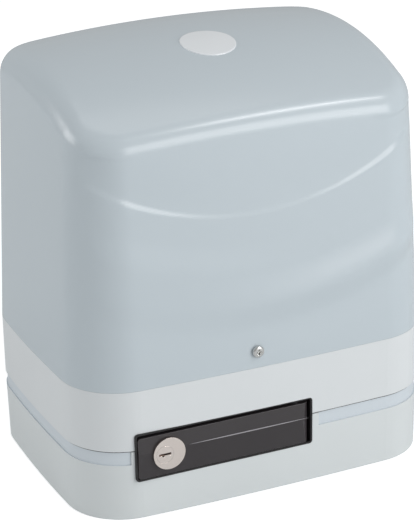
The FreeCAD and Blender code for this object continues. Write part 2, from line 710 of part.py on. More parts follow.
def lug(body, name, offset, front_face):
    """A slotted lug that a captive cover screw drops into, from its front face back."""
    top = "cover_screw_height + lug_rise"
    outline = box_outline(body, name + "_lug", "XZ", f"{offset} - lug_width / 2",
                          f"{offset} + lug_width / 2", f"{DECK_TOP} - 1", top, front_face)
    pad(body, outline, "lug_thickness")
    half = "(cover_screw_radius + screw_gap)"
    slot = box_outline(body, name + "_slot", "XZ", f"{offset} - {half}", f"{offset} + {half}",
                       f"cover_screw_height - {half}", f"{top} + 2", f"{front_face} - 3")
    pocket(body, slot, "lug_thickness + 6", 1)


FRONT_LUG = f"({FRONT} + {LIP_INSET} + lug_inset)"
REAR_LUG = f"({REAR} - {LIP_INSET} - lug_inset - lug_thickness)"
BEARING_FRONT = f"({REAR} - seal_width - rear_bearing_width)"


def make_upper_casting():
    body = new_body("upper_casting")
    band = f"(band_top - {BAND_BOTTOM})"
    pad(body, plan(body, "band", ["0"], BAND_BOTTOM), band)
    pad(body, plan(body, "deck", [LIP_INSET], "band_top"), "deck_thickness + lip_rise")
    pocket(body, plan(body, "lip", [f"{LIP_INSET} + lip_wall"], f"{DECK_TOP} + lip_rise"), "lip_rise")
    pocket(body, plan(body, "hollow", ["casting_wall"], BAND_BOTTOM), band, 1)
    boss = [("0", "shaft_height", "rear_bearing_radius + bearing_boss_wall")]
    pad(body, circles(body, "rear_boss", "XZ", boss, BEARING_FRONT),
        "rear_bearing_width + seal_width - casting_wall")
    seat = [("0", "shaft_height", "rear_bearing_radius")]
    pocket(body, circles(body, "bearing_seat", "XZ", seat, f"{BEARING_FRONT} - 1"),
           "rear_bearing_width + 1", 1)
    seal = [("0", "shaft_height", "seal_radius")]
    pocket(body, circles(body, "seal_seat", "XZ", seal, f"{REAR} - seal_width - 1"),
           "seal_width + 4", 1)
    bosses = [(x, y, "casing_boss_radius") for x, y in BOLTS]
    pad(body, circles(body, "bolt_bosses", "XY", bosses, BAND_BOTTOM),
        f"{DECK_TOP} + deck_boss_height - {BAND_BOTTOM}")
    bolts = [(x, y, "casing_bolt_radius + screw_gap") for x, y in BOLTS]
    pocket(body, circles(body, "bolt_holes", "XY", bolts))
    access = [(x, y, "anchor_access_radius") for x, y in ANCHORS]
    access.append((WORM_X, "worm_plane", "motor_hole_radius"))
    pocket(body, circles(body, "deck_holes", "XY", access, "band_top - 1"), "deck_thickness + 8", 1)
    half = "wire_slot_width / 2"
    wires = box_outline(body, "wire_slot", "XY", f"cable_offset - {half}", f"cable_offset + {half}",
                        "cable_back - wire_slot_depth / 2", "cable_back + wire_slot_depth / 2",
                        "band_top - 1")
    pocket(body, wires, "deck_thickness + 8", 1)
    lug(body, "front", "cover_screw_offset", FRONT_LUG)
    lug(body, "rear", "rear_screw_offset", REAR_LUG)
    pocket_opening(body)


def make_gasket():
    body = new_body("casing_gasket")
    pad(body, plan(body, "outer", ["gasket_inset"], "parting_height"), "gasket_thickness")
    pocket(body, plan(body, "inner", ["gasket_inset + gasket_width"], "parting_height"),
           "gasket_thickness + 1", 1)
    pocket_opening(body)


def make_casing_screws():
    bolts = []
    for i, (x, y) in enumerate(BOLTS):
        seat = f"{DECK_TOP} + deck_boss_height"
        shank = f"{seat} - parting_height + casing_bolt_depth"
        bolts.append(turned_loose(f"casing_bolt_{i}", [
            ("0", "0"), ("casing_bolt_radius", "0"), ("casing_bolt_radius", shank),
            ("casing_bolt_head", shank), ("casing_bolt_head", f"{shank} + casing_bolt_head_height"),
            ("casing_bolt_radius", f"{shank} + casing_bolt_head_height"),
            ("casing_bolt_radius", f"{shank} + casing_bolt_head_height / 2"),
            ("0", f"{shank} + casing_bolt_head_height / 2")],
            x, y, "parting_height - casing_bolt_depth"))
    gather("casing_bolts", bolts)
    screws = []
    for i, (x, y) in enumerate(LEVELS):
        screws.append(turned_loose(f"levelling_screw_{i}", [
            ("0", "0"), ("levelling_radius", "0"), ("levelling_radius", "levelling_length"),
            ("levelling_radius / 2", "levelling_length"),
            ("levelling_radius / 2", "levelling_length - 4"), ("0", "levelling_length - 4")],
            x, y, "levelling_recess"))
    gather("levelling_screws", screws)


# ---------------------------------------------------------------- cover

def face_y(x, z):
    """The cover's outer front face at a place along X and a height."""
    inset = f"(({z}) - band_top - seat_gap) * tan(cover_draft)"
    return f"(front_bow - body_depth / 2 - sqrt((front_bow - {inset})^2 - ({x})^2))"


def arc_height(radius, x):
    """The height of an arc round the swoosh's centre."""
    return f"(swoosh_centre - sqrt({radius}^2 - (({x}) - swoosh_offset)^2))"


def make_swoosh(body):
    """The shallow recess under the front's curved crease, fading out at its lower edge."""
    sections = []
    for i, share in enumerate((-0.5, -0.27, 0, 0.27, 0.5)):
        x = f"({share} * body_width)"
        high = arc_height("swoosh_upper", x)
        low = arc_height("swoosh_lower", x)
        slope = f"(swoosh_depth / ({high} - {low}))"
        points = [
            (f"{face_y(x, high)} - 3", f"{high} + 0.6"),
            (f"{face_y(x, high)} + swoosh_depth", high),
            (f"{face_y(x, low)} - 3", f"{low} - 3 / {slope} * 0.4"),
        ]
        del slope
        points[2] = (f"{face_y(x, low)} - 0.3", f"{low} - 0.3 / swoosh_depth * ({high} - {low})")
        points.append((f"{face_y(x, low)} - 3", f"{low} - 0.3 / swoosh_depth * ({high} - {low})"))
        sections.append(polygon(body, f"swoosh_{i}", "YZ", points, x))
    loft = body.newObject("PartDesign::SubtractiveLoft", "swoosh")
    loft.Profile = sections[0]
    loft.Sections = sections[1:]
    loft.Ruled = False


def cut_crown(body, shrink):
    """Turns the crown's surface: an arc along X, swung about a line along X."""
    sketch = new_sketch(body, "crown", "XZ", "crown_offset")
    axis, side, top = "(crown_top - crown_bow)", "(body_width / 2 + 20)", "(crown_top + 95)"
    radius = number(f"crown_span - ({shrink})")
    centre, half, roof = number("crown_top - crown_span"), number(side), number(top)
    edge = centre + math.sqrt(radius ** 2 - half ** 2)
    slope = math.atan2(edge - centre, half)
    circle = Part.Circle(Vector(0, centre, 0), Vector(0, 0, 1), radius)
    sketch.addGeometry([
        Part.LineSegment(Vector(-half, roof, 0), Vector(-half, edge, 0)),
        Part.ArcOfCircle(circle, slope, math.pi - slope),
        Part.LineSegment(Vector(half, edge, 0), Vector(half, roof, 0)),
        Part.LineSegment(Vector(half, roof, 0), Vector(-half, roof, 0)),
    ], False)
    level = number(axis)
    sketch.addGeometry(Part.LineSegment(Vector(-half, level, 0), Vector(half, level, 0)), True)
    for a, p, b, q in ((0, 2, 1, 2), (1, 1, 2, 1), (2, 2, 3, 1), (3, 2, 0, 1)):
        sketch.addConstraint(Sketcher.Constraint("Coincident", a, p, b, q))
    sketch.addConstraint([Sketcher.Constraint("Vertical", 0), Sketcher.Constraint("Vertical", 2)])
    place(sketch, 1, 3, "0", "crown_top - crown_span")
    measure(sketch, "Radius", (1,), f"crown_span - ({shrink})")
    for geo, point, x, y in ((3, 1, side, top), (3, 2, f"-{side}", top),
                             (4, 1, f"-{side}", axis), (4, 2, side, axis)):
        place(sketch, geo, point, x, y)
    groove = body.newObject("PartDesign::Groove", body.Name + "_crown_cut")
    groove.Profile = sketch
    groove.ReferenceAxis = (sketch, ["Axis0"])
    groove.Angle = 360
    return groove


def make_dome(label, inset, shrink):
    """The crowned, drafted block that both faces of the cover follow."""
    body = new_body(label, keep=False)
    pad(body, plan(body, "foot", [inset], "band_top + seat_gap"), "crown_top - band_top + 20", 1,
        "-cover_draft")
    crown = cut_crown(body, shrink)
    return body, round_edges(body, crown, is_rim, f"rim_round - ({shrink})")


def is_rim(edge):
    return edge.BoundBox.ZMin > number("band_top + 0.4 * (crown_top - band_top)")


def make_cover():
    inner, _ = make_dome("cover_core", "cover_wall", "cover_wall")
    body, rim = make_dome("cover", "0", "0")
    PARTS.append(body)
    make_swoosh(body)
    hollow = body.newObject("PartDesign::Boolean", "cover_hollow")
    hollow.addObject(inner)
    hollow.Type = "Cut"
    gap = "limit_gap"
    notch = box_outline(body, "limit_notch", "XZ", f"limit_offset - limit_width / 2 - {gap}",
                        f"limit_offset + limit_width / 2 + {gap}", "band_top - 2",
                        f"limit_box_top + {gap}", f"{REAR} - 30")
    pocket(body, notch, "40", 1)
    for name, offset, start in (("front", "cover_screw_offset", f"{FRONT} - 5"),
                                ("rear", "rear_screw_offset", f"{REAR} - 20")):
        hole = [(offset, "cover_screw_height", "cover_screw_radius + screw_gap")]
        pocket(body, circles(body, name + "_screw_hole", "XZ", hole, start), "25", 1)




def make_cover_trim():
    """The blank badge, and the captive screws with their square nuts."""
    badge_x = [("0", "-badge_front", "badge_radius")]
    body = new_body("cover_badge")
    pad(body, circles(body, "disc", "XY", badge_x, "crown_top - 12"), "30")
    cut_crown(body, "-badge_thickness")
    doc.recompute()
    under = new_body("badge_under", keep=False)
    pad(under, circles(under, "disc", "XY", [("0", "-badge_front", "badge_radius + 5")],
                       "crown_top - 30"), "50")
    cut_crown(under, "0")
    trim = body.newObject("PartDesign::Boolean", "badge_trim")
    trim.addObject(under)
    trim.Type = "Cut"
    seats = {"front": ("cover_screw_offset", "-Y"), "rear": ("rear_screw_offset", "Y")}
    nuts = []
    for name, (x, axis) in seats.items():
        sign = "-" if axis == "-Y" else ""
        inset = "((cover_screw_height - band_top - seat_gap) * tan(cover_draft))"
        bow = f"(front_bow - sqrt(front_bow^2 - ({x})^2))"
        seat = f"{sign}(body_depth / 2 - {inset} - {bow} + screw_seat)"
        turned(f"cover_screw_{name}", [
            ("0", "-cover_screw_length"), ("cover_screw_radius", "-cover_screw_length"),
            ("cover_screw_radius", "0"), ("cover_screw_head", "0"),
            ("cover_screw_head", "cover_screw_head_height * 0.55"),
            ("cover_screw_head * 0.72", "cover_screw_head_height"),
            ("0", "cover_screw_head_height")],
            x, seat, "cover_screw_height", axis)
        back = f"({FRONT_LUG} + lug_thickness + nut_gap)" if sign else f"({REAR_LUG} - nut_gap - nut_thickness)"
        half = "nut_width / 2"
        plate = block(f"nut_plate_{name}", f"{x} - {half}", f"{x} + {half}", back,
                      f"{back} + nut_thickness", f"cover_screw_height - {half}",
                      f"cover_screw_height + {half}")
        drill = cylinder(f"nut_bore_{name}", "cover_screw_radius", "nut_thickness + 2", x,
                         f"{back} - 1", "cover_screw_height", "Y")
        nuts.append(cut(f"nut_{name}", plate, drill, keep=False))
    gather("cover_nuts", nuts)


# ---------------------------------------------------------------- drive line

def spur_outline(module, teeth, clearance=0.0, flank=5):
    """A closed gear outline: involute flanks between root and tip, one tooth pointing along X."""
    pitch = module * teeth / 2
    tip, root = pitch + module, pitch - 1.25 * module
    pressure = math.radians(20)
    base = pitch * math.cos(pressure)
    half = math.pi / (2 * teeth) - clearance / (2 * pitch)
    roll = math.tan(pressure) - pressure
    start = max(base, root)
    side = []
    for i in range(flank + 1):
        radius = start + (tip - start) * i / flank
        angle = math.acos(min(1.0, base / radius))
        side.append((radius, half + roll - (math.tan(angle) - angle)))
    if root < start:
        side.insert(0, (root, side[0][1]))
    points = []
    for tooth in range(teeth):
        turn_by = 2 * math.pi * tooth / teeth
        for radius, angle in side:
            points.append((radius, turn_by - angle))
        for radius, angle in reversed(side):
            points.append((radius, turn_by + angle))
    return [Vector(r * math.cos(a), r * math.sin(a), 0) for r, a in points]


def outline_wire(points, height=0.0, twist=0.0):
    wire = Part.makePolygon(points + points[:1])
    wire.rotate(Vector(), Vector(0, 0, 1), twist)
    wire.translate(Vector(0, 0, height))
    return wire


def make_pinion():
    width, bore = number("pinion_width"), number("shaft_radius")
    outline = spur_outline(number("pinion_module"), int(number("pinion_teeth")))
    gear = Part.Face(outline_wire(outline)).extrude(Vector(0, 0, width))
    tip = number("pinion_module * (pinion_teeth / 2 + 1)")
    bevel = number("pinion_module / 4")
    blank = Part.makeCylinder(tip, width - 2 * bevel, Vector(0, 0, bevel))
    blank = blank.fuse(Part.makeCone(tip - bevel, tip, bevel))
    blank = blank.fuse(Part.makeCone(tip, tip - bevel, bevel, Vector(0, 0, width - bevel)))
    gear = gear.common(blank.removeSplitter())
    gear = gear.cut(Part.makeCylinder(bore, width))
    wide, deep = number("pinion_key_width + key_gap"), number("pinion_key_height / 2 + key_gap")
    gear = gear.cut(Part.makeBox(wide, bore + deep, width, Vector(-wide / 2, -bore - deep, 0)))
    computed("pinion", gear, "0", PINION_FRONT, "shaft_height", "Y")


PINION_FRONT = f"({REAR} + pinion_clearance)"
SHAFT_END = f"({PINION_FRONT} + pinion_width - 0.5)"
SLEEVE_FRONT = "(worm_plane - wheel_hub_length / 2 - clutch_gap - clutch_length)"
HUB_FRONT = "(worm_plane - wheel_hub_length / 2)"
FRONT_RACE = "(-front_bearing_back - front_bearing_width)"


def make_output_shaft():
    body = new_body("output_shaft")
    shoulder = "(-front_bearing_back)"
    hub_back = "(worm_plane + wheel_hub_length / 2 + clutch_gap)"
    section = [
        ("0", FRONT_RACE), ("front_journal", FRONT_RACE), ("front_journal", shoulder),
        ("shaft_radius", shoulder), ("shaft_radius", hub_back), ("shaft_collar", hub_back),
        ("shaft_collar", BEARING_FRONT), ("shaft_radius", BEARING_FRONT),
        ("shaft_radius", SHAFT_END), ("pinion_bolt_radius", SHAFT_END),
        ("pinion_bolt_radius", f"{SHAFT_END} - pinion_bolt_depth"),
        ("0", f"{SHAFT_END} - pinion_bolt_depth"),
    ]
    turn(body, polygon(body, "section", "XZ", section))
    half = "(spline_width / 2)"
    for name, low, high in (("up", "shaft_radius - 1", "shaft_radius + spline_height"),
                            ("down", "-shaft_radius - spline_height", "1 - shaft_radius")):
        rib = box_outline(body, "rib_" + name, "XY", f"-{half}", half, low, high,
                          f"{SLEEVE_FRONT} - clutch_travel - 2")
        pad(body, rib, f"{HUB_FRONT} - clutch_gap - {SLEEVE_FRONT} + clutch_travel + 2")
    seat = box_outline(body, "key_seat", "XY", "-pinion_key_width / 2", "pinion_key_width / 2",
                       "-shaft_radius - 2", "pinion_key_height / 2 - shaft_radius", KEY_START)
    pocket(body, seat, "pinion_key_length", 1)
    put(body, "0", "0", "shaft_height", "Y")


KEY_START = f"({PINION_FRONT} + (pinion_width - pinion_key_length) / 2)"


def make_drive_fittings():
    block_x = "pinion_key_width / 2"
    key = block("pinion_key", f"-{block_x}", block_x, KEY_START, f"{KEY_START} + pinion_key_length",
                "shaft_height + shaft_radius - pinion_key_height / 2",
                "shaft_height + shaft_radius + pinion_key_height / 2")
    PARTS.append(key)
    face = f"({PINION_FRONT} + pinion_width)"
    ring("pinion_washer", "pinion_bolt_radius + 0.25", "pinion_washer_radius",
         "pinion_washer_thickness", "0", face, "shaft_height", "Y")
    body = new_body("pinion_bolt")
    length = "(pinion_bolt_depth - 1)"
    section = [("0", f"-{length}"), ("pinion_bolt_radius", f"-{length}"), ("pinion_bolt_radius", "0"),
               ("pinion_bolt_head", "0"), ("pinion_bolt_head", "pinion_bolt_head_height"),
               ("0", "pinion_bolt_head_height")]
    turn(body, polygon(body, "section", "XZ", section))
    socket = rounded(body, "socket", "XY", "-3", "3", "-3", "3", "1", "pinion_bolt_head_height")
    pocket(body, socket, "3")
    put(body, "0", f"{face} + pinion_washer_thickness", "shaft_height", "Y")

    split = "(shaft_radius + (rear_bearing_radius - shaft_radius) * race_split)"
    ring("rear_bearing_inner", "shaft_radius", f"{split} - running_gap", "rear_bearing_width",
         "0", BEARING_FRONT, "shaft_height", "Y")
    ring("rear_bearing_outer", split, "rear_bearing_radius", "rear_bearing_width",
         "0", BEARING_FRONT, "shaft_height", "Y")
    ring("output_seal", "shaft_radius + shaft_gap", "seal_radius", "seal_width",
         "0", f"({REAR} - seal_width)", "shaft_height", "Y")
    split = "(front_journal + (front_bearing_radius - front_journal) * race_split)"
    ring("front_bearing_inner", "front_journal", f"{split} - running_gap", "front_bearing_width",
         "0", FRONT_RACE, "shaft_height", "Y")
    ring("front_bearing_outer", split, "front_bearing_radius", "front_bearing_width",
         "0", FRONT_RACE, "shaft_height", "Y")

    body = new_body("front_bearing_bracket")
    half = "(front_bearing_radius + bracket_wall)"
    outline = box_outline(body, "outline", "XZ", f"-{half}", half, f"shaft_height - {half}",
                          "band_top", FRONT_RACE)
    pad(body, outline, "front_bearing_width + bracket_lip")
    bore = [("0", "shaft_height", "front_bearing_radius")]
    pocket(body, circles(body, "seat", "XZ", bore, f"{FRONT_RACE} - 1"), "front_bearing_width + 1", 1)
    bore = [("0", "shaft_height", "shaft_radius + spline_height + 1")]
    pocket(body, circles(body, "bore", "XZ", bore, f"{FRONT_RACE} - 1"), "40", 1)


def make_worm_wheel():
    """Bronze wheel: helical teeth with a throat that wraps the worm, and slots for the dogs."""
    module, teeth = number("worm_module"), int(number("wheel_teeth"))
    pitch = module * teeth / 2
    face, hub = number("wheel_face"), number("wheel_hub_length")
    quotient = number("worm_quotient")
    outline = spur_outline(module, teeth, number("mesh_gap"), 3)
    twist = math.degrees(face / quotient / pitch)
    wires = [outline_wire(outline, -face / 2, -twist / 2), outline_wire(outline, face / 2, twist / 2)]
    gear = Part.makeLoft(wires, True, True)
    gear = gear.fuse(Part.makeCylinder(number("wheel_hub_radius"), hub, Vector(0, 0, -hub / 2)))
    centre = module * (quotient + teeth) / 2
    throat = module * (quotient / 2 - 1) - 0.1
    ring_cut = Part.makeTorus(centre, throat)
    del ring_cut
    gear = gear.cut(Part.makeCylinder(number("shaft_radius + running_gap"), hub, Vector(0, 0, -hub / 2)))
    inner, outer = number("dog_inner") - 0.4, number("wheel_hub_radius") + 1
    depth = number("dog_length") + 0.4
    slot = Part.makeCylinder(outer, depth, Vector(0, 0, -hub / 2), Vector(0, 0, 1),
                             number("dog_angle + 2 * dog_play"))
    slot = slot.cut(Part.makeCylinder(inner, depth, Vector(0, 0, -hub / 2)))
    slot.rotate(Vector(), Vector(0, 0, 1), -number("dog_angle / 2 + dog_play"))
    count = int(number("dog_count"))
    for i in range(count):
        piece = slot.copy()
        piece.rotate(Vector(), Vector(0, 0, 1), 360 / count * (i + 0.5))
        gear = gear.cut(piece)
    computed("worm_wheel", gear, "0", "worm_plane", "shaft_height", "Y")


def make_clutch_sleeve():
    body = new_body("clutch_sleeve")
    middle = "(clutch_length / 2)"
    section = [("shaft_radius + running_gap", "0"), ("clutch_radius", "0"),
               ("clutch_radius", f"{middle} - groove_width / 2"),
               ("groove_radius", f"{middle} - groove_width / 2"),
               ("groove_radius", f"{middle} + groove_width / 2"),
               ("clutch_radius", f"{middle} + groove_width / 2"),
               ("clutch_radius", "clutch_length"), ("shaft_radius + running_gap", "clutch_length")]
    turn(body, polygon(body, "section", "XZ", section))
    half = "(spline_width / 2 + 2 * running_gap)"
    high = "(shaft_radius + spline_height + 2 * running_gap)"
    pocket(body, box_outline(body, "splines", "XY", f"-{half}", half, f"-{high}", high))
    put(body, "0", SLEEVE_FRONT, "shaft_height", "Y")
    return body


def make_dogs():
    """The dogs stand on the sleeve's rear face."""
    inner, outer = number("dog_inner"), number("dog_outer")
    start, length = number("clutch_length - 0.5"), number("dog_length + clutch_gap + 0.5")
    count, angle = int(number("dog_count")), number("dog_angle")
    dogs = []
    for i in range(count):
        dog = Part.makeCylinder(outer, length, Vector(0, 0, start), Vector(0, 0, 1), angle)
        dog = dog.cut(Part.makeCylinder(inner, length, Vector(0, 0, start)))
        dog.rotate(Vector(), Vector(0, 0, 1), 360 / count * (i + 0.5) - angle / 2)
        dogs.append(dog)
    shape = dogs[0].multiFuse(dogs[1:])
    feature = doc.addObject("Part::Feature", "clutch_dogs")
    feature.Shape = shape
    put(feature, "0", SLEEVE_FRONT, "shaft_height", "Y")
    return feature


def make_clutch():
    sleeve = make_clutch_sleeve()
    PARTS.remove(sleeve)
    sleeve.Label = "clutch_barrel"
    fuse("clutch_sleeve_dogs", [sleeve, make_dogs()]).Label = "clutch_sleeve"

    plate_front = f"({SLEEVE_FRONT} + clutch_length / 2 - fork_thickness / 2)"
    body = new_body("release_fork")
    reach = "(clutch_radius + 4)"
    arm = "(groove_radius + fork_gap)"
    foot = "(rod_height - rod_radius - 2)"
    outline = polygon(body, "plate", "XZ", [
        (f"-{reach}", "shaft_height + 4"), (f"-{reach}", f"shaft_height - {reach}"),
        ("rod_offset - 8", foot), ("rod_offset + 4", foot),
        (reach, f"shaft_height - {reach}"), (reach, "shaft_height + 4")], plate_front)
    pad(body, outline, "fork_thickness")
    throat = box_outline(body, "throat", "XZ", f"-{arm}", arm, "shaft_height", "shaft_height + 8",
                         f"{plate_front} - 2")
    pocket(body, throat, "fork_thickness + 4", 1)
    pocket(body, circles(body, "saddle", "XZ", [("0", "shaft_height", arm)], f"{plate_front} - 2"),
           "fork_thickness + 4", 1)
    rod = circles(body, "rod", "XZ", [("rod_offset", "rod_height", "rod_radius")], YOKE_BACK)
    pad(body, rod, f"{plate_front} + fork_thickness - {YOKE_BACK}")
    low = "(rod_height - yoke_thickness / 2)"
    yoke = box_outline(body, "yoke", "XY", YOKE_LEFT, YOKE_RIGHT, YOKE_FRONT, f"{YOKE_BACK} + 1", low)
    pad(body, yoke, "yoke_thickness")
    slot = box_outline(body, "yoke_slot", "XY", f"{YOKE_LEFT} + yoke_wall", f"{YOKE_RIGHT} - yoke_wall",
                       f"{YOKE_FRONT} + yoke_front_wall", f"{YOKE_BACK} - yoke_wall", low)
    pocket(body, slot, "yoke_thickness + 1", 1)


FINGER_Y = f"({PIVOT_Y} + crank_radius)"
YOKE_FRONT = f"({FINGER_Y} - finger_radius - yoke_gap - yoke_front_wall)"
YOKE_BACK = f"({FINGER_Y} + finger_radius + yoke_play + yoke_gap + yoke_wall)"
YOKE_RIGHT = f"({PIVOT_X} + finger_radius + 1 + yoke_wall)"
YOKE_LEFT = f"({PIVOT_X} - crank_radius - finger_radius - 1 - yoke_wall)"


# ---------------------------------------------------------------- motor

WORM_SEAT = "(floor_thickness + worm_bearing_floor)"
CUP_BASE = DECK_TOP
STATOR_BASE = f"({DECK_TOP} + motor_cup_height)"
STATOR_TOP = f"({STATOR_BASE} + stator_height)"
MOTOR_TOP = f"({STATOR_TOP} + motor_top_height)"
TOP_BEARING = f"({MOTOR_TOP} - motor_cup_floor - worm_bearing_width)"
EARS = [(f"{WORM_X} {sx} ear_circle * 0.70711", f"worm_plane {sy} ear_circle * 0.70711")
        for sx in "+-" for sy in "+-"]


def make_worm_shaft():
    """The worm, one start, cut on the motor's own shaft."""
    module, quotient = number("worm_module"), number("worm_quotient")
    lead = math.pi * module
    pitch = module * quotient / 2
    tip, root = pitch + module, pitch - 1.25 * module
    turns, gap = number("worm_turns"), number("mesh_gap")
    length = lead * turns
    slope = math.tan(math.radians(20))
    half_tip = lead / 4 - gap / 2 - module * slope
    half_root = lead / 4 - gap / 2 + 1.25 * module * slope
    sink = 0.4
    helix = Part.makeHelix(lead, length, root - sink)
    half_sunk = half_root + sink * slope
    corners = [Vector(root - sink, 0, -half_sunk), Vector(tip, 0, -half_tip),
               Vector(tip, 0, half_tip), Vector(root - sink, 0, half_sunk)]
    profile = Part.makePolygon(corners + corners[:1])
    sweep = Part.BRepOffsetAPI.MakePipeShell(Part.Wire(helix))
    sweep.setFrenetMode(True)
    sweep.add(Part.Wire(profile))
    sweep.build()
    sweep.makeSolid()
    thread = sweep.shape()
    # The crest on the wheel's side lies half a lead from the wheel's tooth.
    thread.translate(Vector(0, 0, number("shaft_height") - length / 2 - lead / 2 + lead / 2))
    thread.rotate(Vector(), Vector(0, 0, 1), 180)
    if turns % 1:
        thread.rotate(Vector(), Vector(0, 0, 1), 360 * (turns % 1) / 2)
    shift = (length / 2) % lead
    thread.translate(Vector(0, 0, shift - lead / 2))
    low, high = number(WORM_SEAT), number(f"{MOTOR_TOP} - motor_cup_floor - 0.5")
    shaft = number("worm_shaft_radius")
    start, end = number("shaft_height") - length / 2 - 2 * lead, number("shaft_height") + length / 2 + 2 * lead
    core = Part.makeCylinder(shaft, high - low, Vector(0, 0, low))
    core = core.fuse(Part.makeCylinder(root, end - start, Vector(0, 0, start)))
    computed("worm_shaft", core.fuse(thread), WORM_X, "worm_plane")


def make_motor():
    split = "(worm_shaft_radius + (worm_bearing_radius - worm_shaft_radius) * race_split)"
    for name, z in (("lower", WORM_SEAT), ("upper", TOP_BEARING)):
        ring(f"{name}_bearing_inner", "worm_shaft_radius", f"{split} - running_gap",
             "worm_bearing_width", WORM_X, "worm_plane", z)
        ring(f"{name}_bearing_outer", split, "worm_bearing_radius", "worm_bearing_width",
             WORM_X, "worm_plane", z)
    ring("rotor_core", "worm_shaft_radius", "stator_bore - rotor_gap", "stator_height",
         WORM_X, "worm_plane", STATOR_BASE)
    coil = "(winding_rise - 1)"
    low = ring_loose("winding_low", "winding_inner", "winding_outer", coil,
                     f"({STATOR_BASE} - {coil})")
    high = ring_loose("winding_high", "winding_inner", "winding_outer", coil, STATOR_TOP)
    gather("motor_windings", [low, high])

    body = new_body("motor_stator")
    section = [("stator_bore", "0"), ("motor_radius", "0")]
    step = "(stator_height / (lamination_grooves + 1))"
    for i in range(1, int(number("lamination_grooves")) + 1):
        for radius, side in (("motor_radius", "-"), ("motor_radius - lamination_groove_depth", "-"),
                             ("motor_radius - lamination_groove_depth", "+"), ("motor_radius", "+")):
            section.append((radius, f"{i} * {step} {side} lamination_groove_width / 2"))
    section += [("motor_radius", "stator_height"), ("stator_bore", "stator_height")]
    turn(body, polygon(body, "section", "XZ", section))
    put(body, WORM_X, "worm_plane", STATOR_BASE)

    inner = "(motor_radius - motor_cup_wall)"
    body = new_body("motor_lower_cup")
    turn(body, polygon(body, "section", "XZ", [
        ("motor_hole_radius", "0"), ("motor_radius", "0"), ("motor_radius", "motor_cup_height"),
        (inner, "motor_cup_height"), (inner, "motor_cup_floor"),
        ("motor_hole_radius", "motor_cup_floor")]))
    add_ears(body, "motor_cup_height")
    put(body, WORM_X, "worm_plane", CUP_BASE)

    body = new_body("motor_top_cup")
    boss = "(worm_bearing_radius + 4)"
    bearing_low = "(motor_top_height - motor_cup_floor - worm_bearing_width)"
    turn(body, polygon(body, "section", "XZ", [
        ("0", "motor_top_height"), ("motor_radius - 6", "motor_top_height"),
        ("motor_radius", "motor_top_height - 6"), ("motor_radius", "0"), (inner, "0"),
        (inner, "motor_top_height - 8"), (f"{inner} - 3", "motor_top_height - motor_cup_floor"),
        (boss, "motor_top_height - motor_cup_floor"), (boss, bearing_low),
        ("worm_bearing_radius", bearing_low),
        ("worm_bearing_radius", "motor_top_height - motor_cup_floor"),
        ("0", "motor_top_height - motor_cup_floor")]))
    add_ears(body, "motor_cup_height")
    put(body, WORM_X, "worm_plane", STATOR_TOP)

    bolts = []
    stack = "(motor_cup_height + stator_height + motor_cup_height)"
    for i, (x, y) in enumerate(EARS):
        bolts.append(turned_loose(f"tie_bolt_{i}", [
            ("0", "0"), ("tie_radius", "0"), ("tie_radius", stack), ("tie_head_radius", stack),
            ("tie_head_radius", f"{stack} + tie_head_height"), ("0", f"{stack} + tie_head_height")],
            x, y, CUP_BASE))
    gather("motor_tie_bolts", bolts)


def ring_loose(label, inner, outer, height, z):
    ring(label, inner, outer, height, WORM_X, "worm_plane", z)
    return PARTS.pop()


def add_ears(body, height):
    """Four ears for the tie bolts outside the stator."""
    spots = [(f"{sx} ear_circle * 0.70711", f"{sy} ear_circle * 0.70711")
             for sx in ("", "-") for sy in ("", "-")]
    pad(body, circles(body, "ears", "XY", [(x, y, "ear_radius") for x, y in spots]), height)
    holes = [(x, y, "tie_radius + 0.1") for x, y in spots]
    pocket(body, circles(body, "ear_holes", "XY", holes))


# ---------------------------------------------------------------- electronics

TRAY_BACK = "(tray_front + tray_thickness)"
TRAY_LOW = DECK_TOP
BOARD_BACK = "(tray_front - standoff_height)"
BOARD_FRONT = f"({BOARD_BACK} - board_thickness)"
BOARD_LOW = f"({DECK_TOP} + board_lift)"


